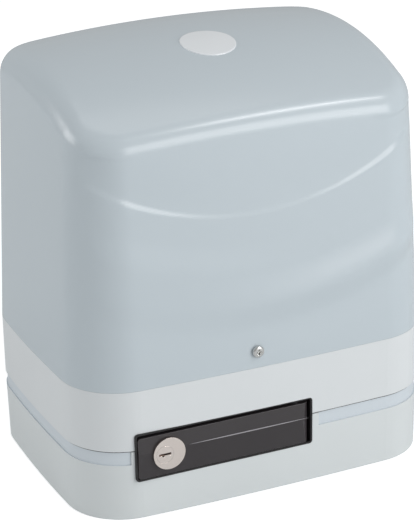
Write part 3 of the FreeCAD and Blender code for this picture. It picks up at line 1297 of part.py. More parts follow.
def make_electronics():
    body = new_body("board_tray")
    foot = box_outline(body, "foot", "YZ", "tray_front", f"tray_front + tray_foot", TRAY_LOW,
                       f"{TRAY_LOW} + tray_thickness", "-tray_width / 2")
    pad(body, foot, "tray_width")
    back = rounded(body, "back", "XZ", "-tray_width / 2", "tray_width / 2", TRAY_LOW,
                   f"{TRAY_LOW} + tray_height", "3", "tray_front")
    pad(body, back, "tray_thickness")
    x, z = "board_width / 2 - board_edge", "board_edge"
    spots = [(f"{sx}({x})", f"{BOARD_LOW} + {h}") for sx in ("", "-")
             for h in (z, f"board_height - {z}")]
    pad(body, circles(body, "standoffs", "XZ", [(a, b, "standoff_radius") for a, b in spots],
                      "tray_front"), "standoff_height", -1)
    wires = box_outline(body, "wire_gap", "XZ", "cable_offset - 18", "cable_offset + 18",
                        f"{TRAY_LOW} + tray_thickness + 1", f"{TRAY_LOW} + tray_thickness + 6",
                        "tray_front - 1")
    pocket(body, wires, "tray_thickness + 2", 1)

    half = "board_width / 2"
    board = block("control_board", f"-{half}", half, BOARD_FRONT, BOARD_BACK, BOARD_LOW,
                  f"{BOARD_LOW} + board_height")
    PARTS.append(board)
    screws = [turned_loose(f"board_screw_{i}", [
        ("0", "0"), ("3", "0"), ("2.2", "1.8"), ("0", "1.8")], a, BOARD_FRONT, b, "-Y")
        for i, (a, b) in enumerate(spots)]
    gather("board_screws", screws)

    low = f"{BOARD_LOW} + 4"
    rows = (("terminal_blocks_supply", -72, 6), ("terminal_blocks_motor", -34, 6),
            ("terminal_blocks_control", 4, 12))
    for label, left, ways in rows:
        body = new_body(label)
        outline = polygon(body, "section", "YZ", [
            (BOARD_FRONT, low), (BOARD_FRONT, f"{low} + terminal_height"),
            (f"{BOARD_FRONT} - terminal_depth * 0.6", f"{low} + terminal_height"),
            (f"{BOARD_FRONT} - terminal_depth", f"{low} + terminal_height * 0.6"),
            (f"{BOARD_FRONT} - terminal_depth", low)], str(left))
        pad(body, outline, f"{ways} * terminal_pitch")
        mouths = [(f"{left} + ({k} + 0.5) * terminal_pitch", f"{low} + 4", "terminal_pitch * 0.32")
                  for k in range(ways)]
        pocket(body, circles(body, "mouths", "XZ", mouths, f"{BOARD_FRONT} - terminal_depth - 1"),
               "6", 1)

    relays = []
    for i in range(3):
        left = f"(-76 + {i} * (relay_width + 5))"
        low = f"({BOARD_LOW} + 44)"
        relays.append(block(f"relay_{i}", left, f"{left} + relay_width",
                            f"{BOARD_FRONT} - relay_depth", BOARD_FRONT, low, f"{low} + relay_height"))
    gather("relays", relays)
    chips = [block("processor", "14", "34", f"{BOARD_FRONT} - 2.4", BOARD_FRONT,
                   f"{BOARD_LOW} + 46", f"{BOARD_LOW} + 66"),
             block("driver", "38", "50", f"{BOARD_FRONT} - 2.4", BOARD_FRONT,
                   f"{BOARD_LOW} + 52", f"{BOARD_LOW} + 62")]
    gather("board_chips", chips)
    PARTS.append(block("radio_module", "56", "76", f"{BOARD_FRONT} - 7", BOARD_FRONT,
                       f"{BOARD_LOW} + 28", f"{BOARD_LOW} + 72"))
    fuse_y = f"({BOARD_FRONT} - 6)"
    tubes = [cylinder(f"fuse_{i}", "3.2", "22", "-76", fuse_y, f"{BOARD_LOW} + {28 + 8 * i}", "X")
             for i in range(2)]
    clips = [block(f"fuse_clip_{i}{j}", f"{-76 + 18 * j}", f"{-72 + 18 * j}", f"{BOARD_FRONT} - 6",
                   BOARD_FRONT, f"{BOARD_LOW} + {26 + 8 * i}", f"{BOARD_LOW} + {30 + 8 * i}")
             for i in range(2) for j in range(2)]
    pairs = [fuse(f"fuse_set_{i}", [tubes[i], clips[2 * i], clips[2 * i + 1]], keep=False)
             for i in range(2)]
    gather("fuses", pairs)


def make_power_parts():
    x0 = "(transformer_offset - transformer_width / 2)"
    x1 = "(transformer_offset + transformer_width / 2)"
    y0 = "(transformer_back - transformer_depth / 2)"
    y1 = "(transformer_back + transformer_depth / 2)"
    body = new_body("transformer_core")
    top = f"({DECK_TOP} + transformer_height)"
    outer = rounded(body, "outline", "XZ", x0, x1, DECK_TOP, top, "1.5", y0)
    pad(body, outer, f"{y1} - {y0}")
    limb = "coil_inset"
    windows = [(f"{x0} + {limb}", f"transformer_offset - {limb}"),
               (f"transformer_offset + {limb}", f"{x1} - {limb}")]
    for i, (a, b) in enumerate(windows):
        hole = box_outline(body, f"window_{i}", "XZ", a, b, f"{DECK_TOP} + {limb}",
                           f"{top} - {limb}", f"{y0} - 1")
        pocket(body, hole, f"{y1} - {y0} + 2", 1)

    body = new_body("transformer_coil")
    gap = "0.2"
    coil = rounded(body, "outline", "XY", f"{x0} + {limb} + {gap}", f"{x1} - {limb} - {gap}",
                   f"{y0} - coil_margin", f"{y1} + coil_margin", "4", f"{DECK_TOP} + {limb} + {gap}")
    pad(body, coil, f"{top} - {limb} - {gap} - ({DECK_TOP} + {limb} + {gap})")
    core = box_outline(body, "core", "XY", f"transformer_offset - {limb} - {gap}",
                       f"transformer_offset + {limb} + {gap}", f"{y0} - {gap}", f"{y1} + {gap}",
                       f"{DECK_TOP}")
    pocket(body, core, "transformer_height + 2", 1)

    turned("motor_capacitor", [
        ("0", "0"), ("capacitor_radius", "0"), ("capacitor_radius", "capacitor_height - 2"),
        ("capacitor_radius - 2", "capacitor_height"), ("0", "capacitor_height")],
        "capacitor_offset", "(body_depth / 2 - capacitor_margin)", DECK_TOP)
    ring("capacitor_clip", "capacitor_radius", "capacitor_radius + clip_wall", "clip_height",
         "capacitor_offset", "(body_depth / 2 - capacitor_margin)", f"{DECK_TOP} + 14")

    body = new_body("cable_grommet")
    lip = "(cable_radius + grommet_flange)"
    turn(body, polygon(body, "section", "XZ", [
        ("cable_radius - grommet_wall", "0.3"), ("cable_radius", "0.3"),
        ("cable_radius", "floor_thickness"), (lip, "floor_thickness"),
        (lip, "floor_thickness + 2"), ("cable_radius", "grommet_height"),
        ("cable_radius - grommet_wall", "grommet_height")]))
    put(body, "cable_offset", "cable_back")


# ---------------------------------------------------------------- release handle and lock

def make_release_pocket():
    """The liner behind the handle, with the keeper for the lock's cam."""
    body = new_body("release_pocket")
    front = f"({FRONT} + liner_setback)"
    outer = rounded(body, "outer", "XZ", OPEN_LEFT, OPEN_RIGHT, OPEN_LOW, OPEN_HIGH, OPEN_CORNER,
                    front)
    pad(body, outer, "pocket_depth")
    w = "pocket_wall"
    inner = rounded(body, "inner", "XZ", f"{OPEN_LEFT} + {w}", f"{OPEN_RIGHT} - {w}",
                    f"{OPEN_LOW} + {w}", f"{OPEN_HIGH} - {w}", f"{OPEN_CORNER} - {w}", f"{front} - 1")
    pocket(body, inner, "pocket_depth - pocket_back + 1", 1)
    keeper = box_outline(body, "keeper", "XZ", f"{OPEN_LEFT} + 0.5",
                         f"{OPEN_LEFT} + {w} + keeper_reach", "lock_height - keeper_height / 2",
                         "lock_height + keeper_height / 2", KEEPER_FRONT)
    pad(body, keeper, "keeper_depth")
    bore = [(PIVOT_X, PIVOT_Y, "spindle_radius + running_gap")]
    pocket(body, circles(body, "spindle_bore", "XY", bore))


CAM_FRONT = f"({FRONT} - handle_proud + lock_barrel_length + cam_gap)"
KEEPER_FRONT = f"({CAM_FRONT} - keeper_gap - keeper_depth)"


def make_handle():
    body = new_body("release_handle")
    face = f"({FRONT} - handle_proud)"
    back = f"({face} + handle_thickness)"
    outline = rounded(body, "outline", "XZ", "handle_left", "handle_right", "handle_bottom",
                      "handle_top", "handle_corner", face)
    pad(body, outline, f"{back} - {face}")
    corners = [(f"{face} - 2", "handle_ridge"), (f"{face} - 2", "handle_top + 2"),
               (f"{face} + ridge_drop", "handle_top + 2"), (face, "handle_ridge")]
    pocket(body, polygon(body, "upper_slope", "YZ", corners))
    corners = [(f"{face} - 2", "handle_ridge"), (f"{face} - 2", "handle_bottom - 2"),
               (f"{face} + ridge_drop", "handle_bottom - 2"), (face, "handle_ridge")]
    pocket(body, polygon(body, "lower_slope", "YZ", corners))
    # The hinged end is a barrel about the spindle, so it turns without binding.
    barrel = new_body("barrel_cutter", keep=False)
    pad(barrel, box_outline(barrel, "block", "XY", PIVOT_X, "handle_right + 4", f"{face} - 4",
                            f"{back} + 4", "handle_bottom - 2"), "handle_top - handle_bottom + 4")
    keep = [(PIVOT_X, PIVOT_Y, "handle_barrel")]
    pocket(barrel, circles(barrel, "round", "XY", keep, "handle_bottom - 3"),
           "handle_top - handle_bottom + 8", 1)
    hollow = rounded(body, "hollow", "XZ", "lock_offset + lock_barrel_radius + handle_rim",
                     f"{PIVOT_X} - handle_barrel", "handle_bottom + handle_rim",
                     "handle_top - handle_rim", "0.8",
                     f"{face} + handle_plate + ridge_drop")
    pocket(body, hollow, "handle_thickness", 1)
    reach = f"{OPEN_LEFT} + pocket_wall + keeper_reach + 2 * handle_gap"
    half = "(keeper_height / 2 + 2 * handle_gap)"
    relief = box_outline(body, "keeper_relief", "XZ", "handle_left - 1", reach,
                         f"lock_height - {half}", f"lock_height + {half}",
                         f"{KEEPER_FRONT} - 2 * handle_gap")
    pocket(body, relief, "handle_thickness", 1)
    bore = [("lock_offset", "lock_height", "lock_barrel_radius")]
    pocket(body, circles(body, "lock_bore", "XZ", bore, f"{face} - 3"), "handle_thickness + 6", 1)
    bore = [(PIVOT_X, PIVOT_Y, "spindle_radius")]
    pocket(body, circles(body, "spindle_bore", "XY", bore))
    trim = body.newObject("PartDesign::Boolean", "barrel_cut")
    trim.addObject(barrel)
    trim.Type = "Cut"

    body = new_body("release_spindle")
    low = "(crank_top - crank_thickness)"
    shaft = [(PIVOT_X, PIVOT_Y, "spindle_radius")]
    pad(body, circles(body, "spindle", "XY", shaft, low), f"spindle_top - {low}")
    arm = rounded(body, "arm", "XY", f"{PIVOT_X} - spindle_radius", f"{PIVOT_X} + spindle_radius",
                  f"{PIVOT_Y} - spindle_radius - 0.1", f"{FINGER_Y} + finger_radius + 0.6", "2", low)
    pad(body, arm, "crank_thickness")
    finger = [(PIVOT_X, FINGER_Y, "finger_radius")]
    pad(body, circles(body, "finger", "XY", finger, f"{low} - finger_length + 1"), "finger_length")


def make_lock():
    face = f"({FRONT} - handle_proud)"
    body = new_body("lock_housing")
    bolt = [("lock_offset", "lock_height", "lock_barrel_radius")]
    pad(body, circles(body, "barrel", "XZ", bolt, face), "lock_barrel_length")
    flange = [("lock_offset", "lock_height", "lock_flange_radius")]
    pad(body, circles(body, "flange", "XZ", flange, face), "lock_flange_height", -1)
    well = [("lock_offset - plug_offset", "lock_height", "plug_radius + running_gap")]
    pocket(body, circles(body, "well", "XZ", well, f"{face} - 10"), "lock_barrel_length + 20", 1)

    body = new_body("lock_plug")
    x = "(lock_offset - plug_offset)"
    plug = [(x, "lock_height", "plug_radius")]
    top = f"({face} - lock_flange_height)"
    pad(body, circles(body, "plug", "XZ", plug, top), f"{CAM_FRONT} - {top} + 0.5")
    half, thick = "keyway_length / 2", "keyway_width / 2"
    keyway = box_outline(body, "keyway", "XZ", f"{x} - {half}", f"{x} + {half}",
                         f"lock_height - {thick}", f"lock_height + {thick}", f"{top} - 1")
    pocket(body, keyway, "keyway_depth + 1", 1)
    notch = box_outline(body, "notch", "XZ", f"{x} - 2.2", f"{x} - 0.8", f"lock_height - {thick} - 1",
                        f"lock_height", f"{top} - 1")
    pocket(body, notch, "keyway_depth + 1", 1)
    cam = rounded(body, "cam", "XZ", f"{x} - cam_width / 2", f"{x} + cam_width / 2",
                  f"lock_height - cam_width / 2", f"lock_height + cam_length - cam_width / 2",
                  "cam_width / 2 - 0.01", CAM_FRONT)
    pad(body, cam, "cam_thickness")


# ---------------------------------------------------------------- limit switch

def make_limit_switch():
    body = new_body("limit_switch_box")
    left, right = "limit_offset - limit_width / 2", "limit_offset + limit_width / 2"
    rear = f"({REAR} + 0.6)"
    outline = rounded(body, "outline", "XZ", left, right, DECK_TOP, "limit_box_top", "3", "limit_front")
    pad(body, outline, f"{rear} - limit_front")
    boss = [("limit_offset", "limit_height", "limit_boss")]
    pad(body, circles(body, "boss", "XZ", boss, f"{rear} - 1"), "limit_boss_length + 1")
    bore = [("limit_offset", "limit_height", "limit_spindle + running_gap")]
    pocket(body, circles(body, "bore", "XZ", bore, f"{rear} + limit_boss_length + 1"), "30", -1)
    under = box_outline(body, "under", "XZ", left + " - 2", right + " + 2", f"{DECK_TOP} - 4",
                        f"{DECK_TOP} + lip_rise + 0.5", f"{REAR} - {LIP_INSET} - lip_wall - 2")
    pocket(body, under, "20", 1)

    hub_front = f"({rear} + limit_boss_length + 0.3)"
    tip = f"{hub_front} + limit_hub_length / 2"
    turns = [("0", "-22.3"), ("limit_spindle", "-22.3"), ("limit_spindle", "0"), ("limit_hub", "0"),
             ("limit_hub", "limit_hub_length"), ("0", "limit_hub_length")]
    turned("limit_spindle", turns, "limit_offset", hub_front, "limit_height", "Y")
    body = new_body("limit_lever")
    section = [("0", "0"), ("limit_spring_radius", "0")]
    pitch = "(limit_spring_wire * 2)"
    count = int(number("limit_spring_turns"))
    for i in range(1, count + 1):
        section += [("limit_spring_radius", f"({i} - 0.4) * {pitch}"),
                    ("limit_spring_radius - limit_spring_wire", f"({i} - 0.3) * {pitch}"),
                    ("limit_spring_radius - limit_spring_wire", f"({i} - 0.1) * {pitch}"),
                    ("limit_spring_radius", f"{i} * {pitch}")]
    end = f"({count} * {pitch})"
    section += [("limit_tip_radius", f"{end} + 0.5"), ("limit_tip_radius", f"{end} + 8"),
                ("limit_tip_radius - 3", f"{end} + 11"), ("0", f"{end} + 11")]
    turn(body, polygon(body, "section", "XZ", section))
    put(body, "limit_offset", tip, "limit_height + limit_hub")


# ---------------------------------------------------------------- build

def check_and_write():
    """Stops on any failed feature, then writes one file per part."""
    doc.recompute()
    for obj in doc.Objects:
        if {"Invalid", "Error"} & set(obj.State):
            raise RuntimeError(f"{obj.Label} failed: {obj.State}")
        base = getattr(obj, "BaseFeature", None)
        if base is not None and abs(obj.Shape.Volume - base.Shape.Volume) < 1e-3:
            raise RuntimeError(f"{obj.Label} changes nothing")
    os.makedirs("parts", exist_ok=True)
    for part in PARTS:
        if part.Shape.isNull() or not part.Shape.isValid():
            raise RuntimeError(f"{part.Label} has no valid shape")
        part.Shape.exportStep(f"parts/{part.Label}.step")
        print(f"{part.Label}: {len(part.Shape.Solids)} solid(s), {part.Shape.Volume:.0f} mm3")


make_base_casting()
make_upper_casting()
make_gasket()
make_casing_screws()
make_cover()
make_cover_trim()
make_pinion()
make_output_shaft()
make_drive_fittings()
make_worm_wheel()
make_clutch()
make_worm_shaft()
make_motor()
make_electronics()
make_power_parts()
make_release_pocket()
make_handle()
make_lock()
make_limit_switch()
check_and_write()
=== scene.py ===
"""Looks of a sliding gate motor: moulded cover, cast base, release handle and what is inside.

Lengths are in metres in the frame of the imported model: +X right, +Y toward the gate, +Z up.
"""
from __future__ import annotations

import logging
import math
from collections.abc import Callable
from dataclasses import dataclass, field
from enum import Enum
from typing import Any

import bmesh
import bpy
from bpy.types import Material, Node, NodeSocket, NodeTree, Object
from mathutils import Matrix, Vector

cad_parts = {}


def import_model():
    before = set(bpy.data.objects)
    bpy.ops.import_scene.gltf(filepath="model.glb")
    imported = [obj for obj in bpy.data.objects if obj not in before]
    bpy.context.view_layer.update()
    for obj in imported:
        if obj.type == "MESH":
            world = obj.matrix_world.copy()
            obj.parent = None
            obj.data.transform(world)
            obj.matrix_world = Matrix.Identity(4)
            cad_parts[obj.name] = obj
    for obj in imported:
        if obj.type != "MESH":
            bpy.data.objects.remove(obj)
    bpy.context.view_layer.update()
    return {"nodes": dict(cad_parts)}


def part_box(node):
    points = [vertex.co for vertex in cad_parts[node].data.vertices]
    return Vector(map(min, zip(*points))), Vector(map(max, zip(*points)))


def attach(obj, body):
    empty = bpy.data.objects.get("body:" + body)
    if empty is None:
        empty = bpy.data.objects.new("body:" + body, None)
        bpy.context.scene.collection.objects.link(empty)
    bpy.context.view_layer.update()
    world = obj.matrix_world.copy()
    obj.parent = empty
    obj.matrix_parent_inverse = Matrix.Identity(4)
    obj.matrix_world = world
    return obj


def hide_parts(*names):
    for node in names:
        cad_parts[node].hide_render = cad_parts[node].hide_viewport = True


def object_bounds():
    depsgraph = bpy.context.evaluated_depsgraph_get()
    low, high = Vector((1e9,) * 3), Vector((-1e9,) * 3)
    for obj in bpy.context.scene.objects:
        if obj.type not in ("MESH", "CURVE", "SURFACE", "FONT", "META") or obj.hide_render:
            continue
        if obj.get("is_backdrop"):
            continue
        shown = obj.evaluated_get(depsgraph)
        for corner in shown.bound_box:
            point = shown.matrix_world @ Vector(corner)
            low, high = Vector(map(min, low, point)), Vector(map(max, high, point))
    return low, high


log = logging.getLogger("gate_motor")
MM = 0.001
QUARTER = math.pi / 2
# A wave texture repeats after this length at scale 1. Banded grain shows 1.6 bands to its pitch.
WAVE_PERIOD = 0.314
BANDS_PER_PITCH = 10 / (2 * math.pi)
# Broad tone clouds are about 70 mm across, and the smears that hands leave about 18 mm.
CLOUDS_PER_METRE = 14.0
SMEARS_PER_METRE = 55.0
EDGE_SAMPLES = 4
COAT_ROUGHNESS = 0.12
# Wear starts and is full at these cosines between a face and its bevelled edge.
WEAR_FROM, WEAR_FULL = 0.995, 0.9

Colour = tuple[float, float, float, float]
Point = tuple[float, float, float]
Face = tuple[int, ...]


def linear(code: str) -> Colour:
    """Turn an sRGB hex colour into the linear values that shaders take.

    Args:
        code: six hex digits, such as "bbc5ca".

    Returns:
        Red, green, blue and an alpha of 1.
    """
    parts = [int(code[i:i + 2], 16) / 255 for i in (0, 2, 4)]
    red, green, blue = (p / 12.92 if p <= 0.04045 else ((p + 0.055) / 1.055) ** 2.4 for p in parts)
    return red, green, blue, 1.0


def smooth(value: float) -> float:
    """Ease from 0 to 1 as the value goes from 0 to 1."""
    value = min(1.0, max(0.0, value))
    return value * value * (3 - 2 * value)


def add(tree: NodeTree, kind: str, inputs: dict[Any, Any] | None = None,
        **settings: Any) -> Node:
    """Add a node with its settings and links.

    Args:
        tree: a shader or geometry node tree.
        kind: the node's type, such as "ShaderNodeBump".
        inputs: socket name or number to a value, or to the output socket that feeds it.
        **settings: attributes of the node.

    Returns:
        The new node.
    """
    node = tree.nodes.new(kind)
    for name, value in settings.items():
        setattr(node, name, value)
    for name, value in (inputs or {}).items():
        if isinstance(value, NodeSocket):
            tree.links.new(value, node.inputs[name])
        else:
            node.inputs[name].default_value = value
    return node


def calc(tree: NodeTree, operation: str, *values: Any) -> NodeSocket:
    """Add a math node on numbers or sockets, and give the socket that carries its result."""
    return add(tree, "ShaderNodeMath", dict(enumerate(values)), operation=operation).outputs[0]


def blend(tree: NodeTree, share: NodeSocket, first: Any, second: str) -> NodeSocket:
    """Mix a colour with a hex colour by the share that a socket carries, and give the mix's socket."""
    return add(tree, "ShaderNodeMix", {0: share, 6: first, 7: linear(second)}, data_type="RGBA").outputs[2]


class Grain(Enum):
    """How a surface was made, which sets the pattern of its fine relief."""

    MOULDED = "spark-eroded mould texture"
    CAST = "die casting under paint"
    ROUGH_CAST = "bare die casting"
    TURNED = "turned or ground"
    STACKED = "stacked sheet steel"
    WOUND = "wound wire"
    TAPED = "wrapped tape"
    PLAIN = "smooth"

    @property
    def banded(self) -> bool:
        """Tell whether the relief is a row of bands and not a fine noise."""
        return self in (Grain.TURNED, Grain.STACKED, Grain.WOUND, Grain.TAPED)


@dataclass(frozen=True)
class Finish:
    """A finish: what the surface is made of and how its surface was made."""

    name: str
    colour: str
    roughness: float = 0.5
    metallic: float = 0.0
    ior: float = 1.5
    grain: Grain = Grain.PLAIN
    pitch_mm: float = 1.0
    relief_mm: float = 0.02
    shade: float = 0.04
    coat: float = 0.0
    axis: int = 2
    transmission: float = 0.0
    edge_mm: float = 0.35
    wear: float = 0.0
    smear: float = 0.13

    def make(self) -> Material:
        """Build the material, or return the one already built.

        Returns:
            The finished material.
        """
        old = bpy.data.materials.get(self.name)
        if old:
            return old
        material = bpy.data.materials.new(self.name)
        material.use_nodes = True
        tree = material.node_tree
        tree.nodes.clear()
        place = add(tree, "ShaderNodeTexCoord").outputs["Object"]
        shader = add(tree, "ShaderNodeBsdfPrincipled", {
            "Metallic": self.metallic, "Coat Weight": self.coat, "Coat Roughness": COAT_ROUGHNESS,
            "Transmission Weight": self.transmission})
        if not self.metallic:
            shader.inputs["IOR"].default_value = self.ior
        self.paint(tree, place, shader)
        self.emboss(tree, place, shader)
        add(tree, "ShaderNodeOutputMaterial", {"Surface": shader.outputs["BSDF"]})
        return material

    def colour_socket(self, tree: NodeTree, place: NodeSocket) -> Any:
        """Give the colour, or the socket that carries it: one tone, unless a subclass adds more."""
        return linear(self.colour)

    def paint(self, tree: NodeTree, place: NodeSocket,
              shader: Node) -> None:
        """Vary colour and roughness slightly over the surface, as handling and moulding do.

        Args:
            tree: the material's tree.
            place: object coordinates.
            shader: the principled shader.
        """
        cloud = add(tree, "ShaderNodeTexNoise", {"Vector": place, "Scale": CLOUDS_PER_METRE, "Detail": 3.0})
        tone = add(tree, "ShaderNodeMapRange", {
            "Value": cloud.outputs["Fac"], "To Min": 1 - self.shade, "To Max": 1 + self.shade})
        colour = add(tree, "ShaderNodeHueSaturation", {
            "Value": tone.outputs["Result"], "Color": self.colour_socket(tree, place)}).outputs["Color"]
        if self.wear:
            colour = blend(tree, self.worn(tree), colour, "9a9698")
        tree.links.new(colour, shader.inputs["Base Color"])
        smear = add(tree, "ShaderNodeTexNoise", {"Vector": place, "Scale": SMEARS_PER_METRE, "Detail": 4.0})
        rough = add(tree, "ShaderNodeMapRange", {
            "Value": smear.outputs["Fac"], "To Min": self.roughness * (1 - self.smear),
            "To Max": min(1.0, self.roughness * (1 + self.smear))})
        tree.links.new(rough.outputs["Result"], shader.inputs["Roughness"])

    def worn(self, tree: NodeTree) -> NodeSocket:
        """Find the edges, where handling polishes the surface.

        Args:
            tree: the material's tree.

        Returns:
            The socket that carries how worn the surface is.
        """
        edge = add(tree, "ShaderNodeBevel", {"Radius": self.edge_mm * MM}, samples=EDGE_SAMPLES)
        flat = add(tree, "ShaderNodeNewGeometry")
        same = add(tree, "ShaderNodeVectorMath", {0: edge.outputs["Normal"], 1: flat.outputs["Normal"]},
                   operation="DOT_PRODUCT")
        return add(tree, "ShaderNodeMapRange", {
            "Value": same.outputs["Value"], "From Min": WEAR_FROM, "From Max": WEAR_FULL,
            "To Min": 0.0, "To Max": self.wear}).outputs["Result"]

    def emboss(self, tree: NodeTree, place: NodeSocket,
               shader: Node) -> None:
        """Round the edges by a hair and add the relief of the way the surface was made.

        Args:
            tree: the material's tree.
            place: object coordinates.
            shader: the principled shader.
        """
        if self.edge_mm:
            edge = add(tree, "ShaderNodeBevel", {"Radius": self.edge_mm * MM}, samples=EDGE_SAMPLES)
        else:
            edge = add(tree, "ShaderNodeNewGeometry")
        normal = edge.outputs["Normal"]
        if self.grain is not Grain.PLAIN:
            per_metre = 1 / (self.pitch_mm * MM)
            if self.grain.banded:
                height = add(tree, "ShaderNodeTexWave", {
                    "Vector": place, "Scale": WAVE_PERIOD * BANDS_PER_PITCH * per_metre,
                    "Distortion": 1.5 if self.grain is Grain.TURNED else 0.0},
                    bands_direction="XYZ"[self.axis])
            else:
                height = add(tree, "ShaderNodeTexNoise", {
                    "Vector": place, "Scale": per_metre, "Detail": 2.0, "Roughness": 0.6})
            normal = add(tree, "ShaderNodeBump", {
                "Height": height.outputs["Fac"], "Strength": 0.6, "Distance": self.relief_mm * MM,
                "Normal": normal}).outputs["Normal"]
        tree.links.new(normal, shader.inputs["Normal"])


@dataclass(frozen=True)
class StripedPaint(Finish):
    """Casting paint with the blue-grey stripe in its recess under the parting line."""

    stripe: str = "ced6dc"
    low: float = 42.5 * MM
    high: float = 52.45 * MM
    gap_left: float = -104.6 * MM
    gap_right: float = 39.8 * MM
    front: float = -50 * MM

    def colour_socket(self, tree: NodeTree, place: NodeSocket) -> Any:
        """Choose the stripe's colour between its heights, except round the handle.

        Args:
            tree: the material's tree.
            place: object coordinates.

        Returns:
            The socket that carries the colour.
        """
        split = add(tree, "ShaderNodeSeparateXYZ", {0: place}).outputs
        belt = calc(tree, "COMPARE", split["Z"], (self.low + self.high) / 2, (self.high - self.low) / 2)
        middle, reach = (self.gap_left + self.gap_right) / 2, (self.gap_right - self.gap_left) / 2
        beside = calc(tree, "COMPARE", split["X"], middle, reach)
        ahead = calc(tree, "LESS_THAN", split["Y"], self.front)
        keep = calc(tree, "SUBTRACT", 1.0, calc(tree, "MULTIPLY", beside, ahead))
        return blend(tree, calc(tree, "MULTIPLY", belt, keep), linear(self.colour), self.stripe)


@dataclass(frozen=True)
class BoardMask(Finish):
    """Green solder mask with copper tracks showing through as lighter lines."""

    track_colour: str = "2f8a55"
    cell_mm: float = 6.6
    track_place: float = 0.62
    track_half: float = 0.035

    def colour_socket(self, tree: NodeTree, place: NodeSocket) -> Any:
        """Mix the mask with tracks drawn as square cells' edges.

        Args:
            tree: the material's tree.
            place: object coordinates.

        Returns:
            The socket that carries the colour.
        """
        cells = add(tree, "ShaderNodeTexVoronoi", {
            "Vector": place, "Randomness": 0.8, "Scale": 1 / (self.cell_mm * MM)},
            feature="F2", distance="CHEBYCHEV")
        line = calc(tree, "COMPARE", cells.outputs["Distance"], self.track_place, self.track_half)
        return blend(tree, line, linear(self.colour), self.track_colour)


# Injection-moulded ABS: an even satin shell whose soft gloss picks out the rim and the creases. The
# eroded mould texture is drawn several times coarser than it is, so that it breaks the gloss at all.
COVER_ABS = Finish("moulded_abs_blue_grey", "bfc9cf", 0.24, ior=1.53, grain=Grain.MOULDED,
                   pitch_mm=1.6, relief_mm=0.0015, shade=0.004, edge_mm=0.0, smear=0.03)
# Polished ABS under a clear dome: brighter and glassier than the cover round it.
BADGE = Finish("polished_abs_silver_grey", "e3e7ea", 0.18, ior=1.53, coat=0.3)
# Powder coat on a die casting: pale and warmer than the cover, with a slight orange peel.
BASE_PAINT = StripedPaint("powder_coat_light_grey_striped", "d6dbdc", 0.42, grain=Grain.CAST,
                          pitch_mm=1.4, relief_mm=0.02, shade=0.02)
BAND_PAINT = Finish("powder_coat_light_grey", "d9dddf", 0.42, grain=Grain.CAST, pitch_mm=1.4,
                    relief_mm=0.02, shade=0.02)
# Bare aluminium die casting: dull, with a coarse skin.
BARE_CAST = Finish("die_cast_aluminium", "a9abac", 0.5, 1.0, grain=Grain.ROUGH_CAST, pitch_mm=0.9,
                   relief_mm=0.03, shade=0.05)
# Glass-filled nylon: warm black, matt, and paler along the edges that hands rub.
HANDLE_NYLON = Finish("glass_filled_nylon_black", "332f31", 0.42, grain=Grain.MOULDED, pitch_mm=0.7,
                      relief_mm=0.02, shade=0.06, wear=0.55)
# The same nylon drawn pale in a thin line: a painted highlight along the handle's ridge, partly also the rub
# of hands there.
HANDLE_RUB_AND_PAINTED_HIGHLIGHT = Finish("nylon_rubbed_and_painted_highlight", "9a979c", 0.30)
# Black nylon, drawn deeper black than the handle as painted shade: the pocket round the handle and the limit
# switch sit in the shade.
BLACK_NYLON_AND_PAINTED_SHADE = Finish("nylon_black", "1b1a1b", 0.5, grain=Grain.MOULDED, pitch_mm=0.7, shade=0.06)
# Satin nickel plate: warm silver, faintly brushed.
LOCK_NICKEL = Finish("satin_nickel_plate", "ebe0d9", 0.26, 1.0, grain=Grain.TURNED, pitch_mm=0.4,
                     relief_mm=0.004, axis=2)
# Polished stainless steel: small bright screw heads with sharp reflections.
STAINLESS = Finish("stainless_steel_polished", "d2d2d0", 0.22, 1.0)
# Zinc plate: slightly yellow and cloudy.
ZINC = Finish("zinc_plated_steel", "b9b8ae", 0.36, 1.0, shade=0.08)
# Spring steel: grey and smooth.
SPRING = Finish("spring_steel", "9fa1a3", 0.28, 1.0)
# Ground and hobbed steel: fine tool marks across the output's axis.
GROUND = Finish("ground_steel", "a9abad", 0.28, 1.0, grain=Grain.TURNED, pitch_mm=0.5,
                relief_mm=0.006, axis=1)
GEAR = Finish("hobbed_carbon_steel", "8f9193", 0.36, 1.0, grain=Grain.TURNED, pitch_mm=0.8,
              relief_mm=0.01, axis=1)
# Gear bronze: yellow beside the grey steel.
BRONZE = Finish("gear_bronze", "b48a4a", 0.32, 1.0, grain=Grain.TURNED, pitch_mm=0.8,
                relief_mm=0.01, axis=1)
# Bearing steel: superfinished, the glossiest metal here.
BEARING = Finish("bearing_steel", "c2c4c6", 0.18, 1.0)
# Stacked steel sheet: dark, with the edges of 0.6 mm sheets as fine lines.
LAMINATED = Finish("laminated_electrical_steel", "63666a", 0.5, 0.9, grain=Grain.STACKED,
                   pitch_mm=1.0, relief_mm=0.12, axis=2)
LAMINATED_CORE = Finish("laminated_core_steel", "5d6064", 0.5, 0.9, grain=Grain.STACKED,
                        pitch_mm=1.0, relief_mm=0.12, axis=1)
# Enamelled wire: red-brown turns under clear varnish.
COPPER = Finish("enamelled_copper_wire", "9c4a22", 0.3, 0.75, grain=Grain.WOUND, pitch_mm=0.9,
                relief_mm=0.2, axis=2, coat=0.5)
# Polyester tape: yellow turns that overlap in low steps.
TAPE = Finish("polyester_tape_yellow", "c9a83a", 0.35, grain=Grain.TAPED, pitch_mm=6.0,
              relief_mm=0.1, axis=2)
# EPDM rubber: dull, near black.
RUBBER = Finish("epdm_rubber_black", "1d1d1e", 0.75, shade=0.08)
# Plain moulded plastics inside, each told apart by its colour and gloss.
TRAY = Finish("abs_dark_grey", "37393b", 0.5, grain=Grain.MOULDED, pitch_mm=0.7)
TERMINAL = Finish("polyamide_green", "3f8a52", 0.45, grain=Grain.MOULDED, pitch_mm=0.6)
CAN = Finish("polypropylene_white", "dfdfda", 0.4, grain=Grain.MOULDED, pitch_mm=0.6)
RELAY = Finish("pbt_blue", "2a4a86", 0.35)
CHIP = Finish("epoxy_black", "1c1c1d", 0.5)
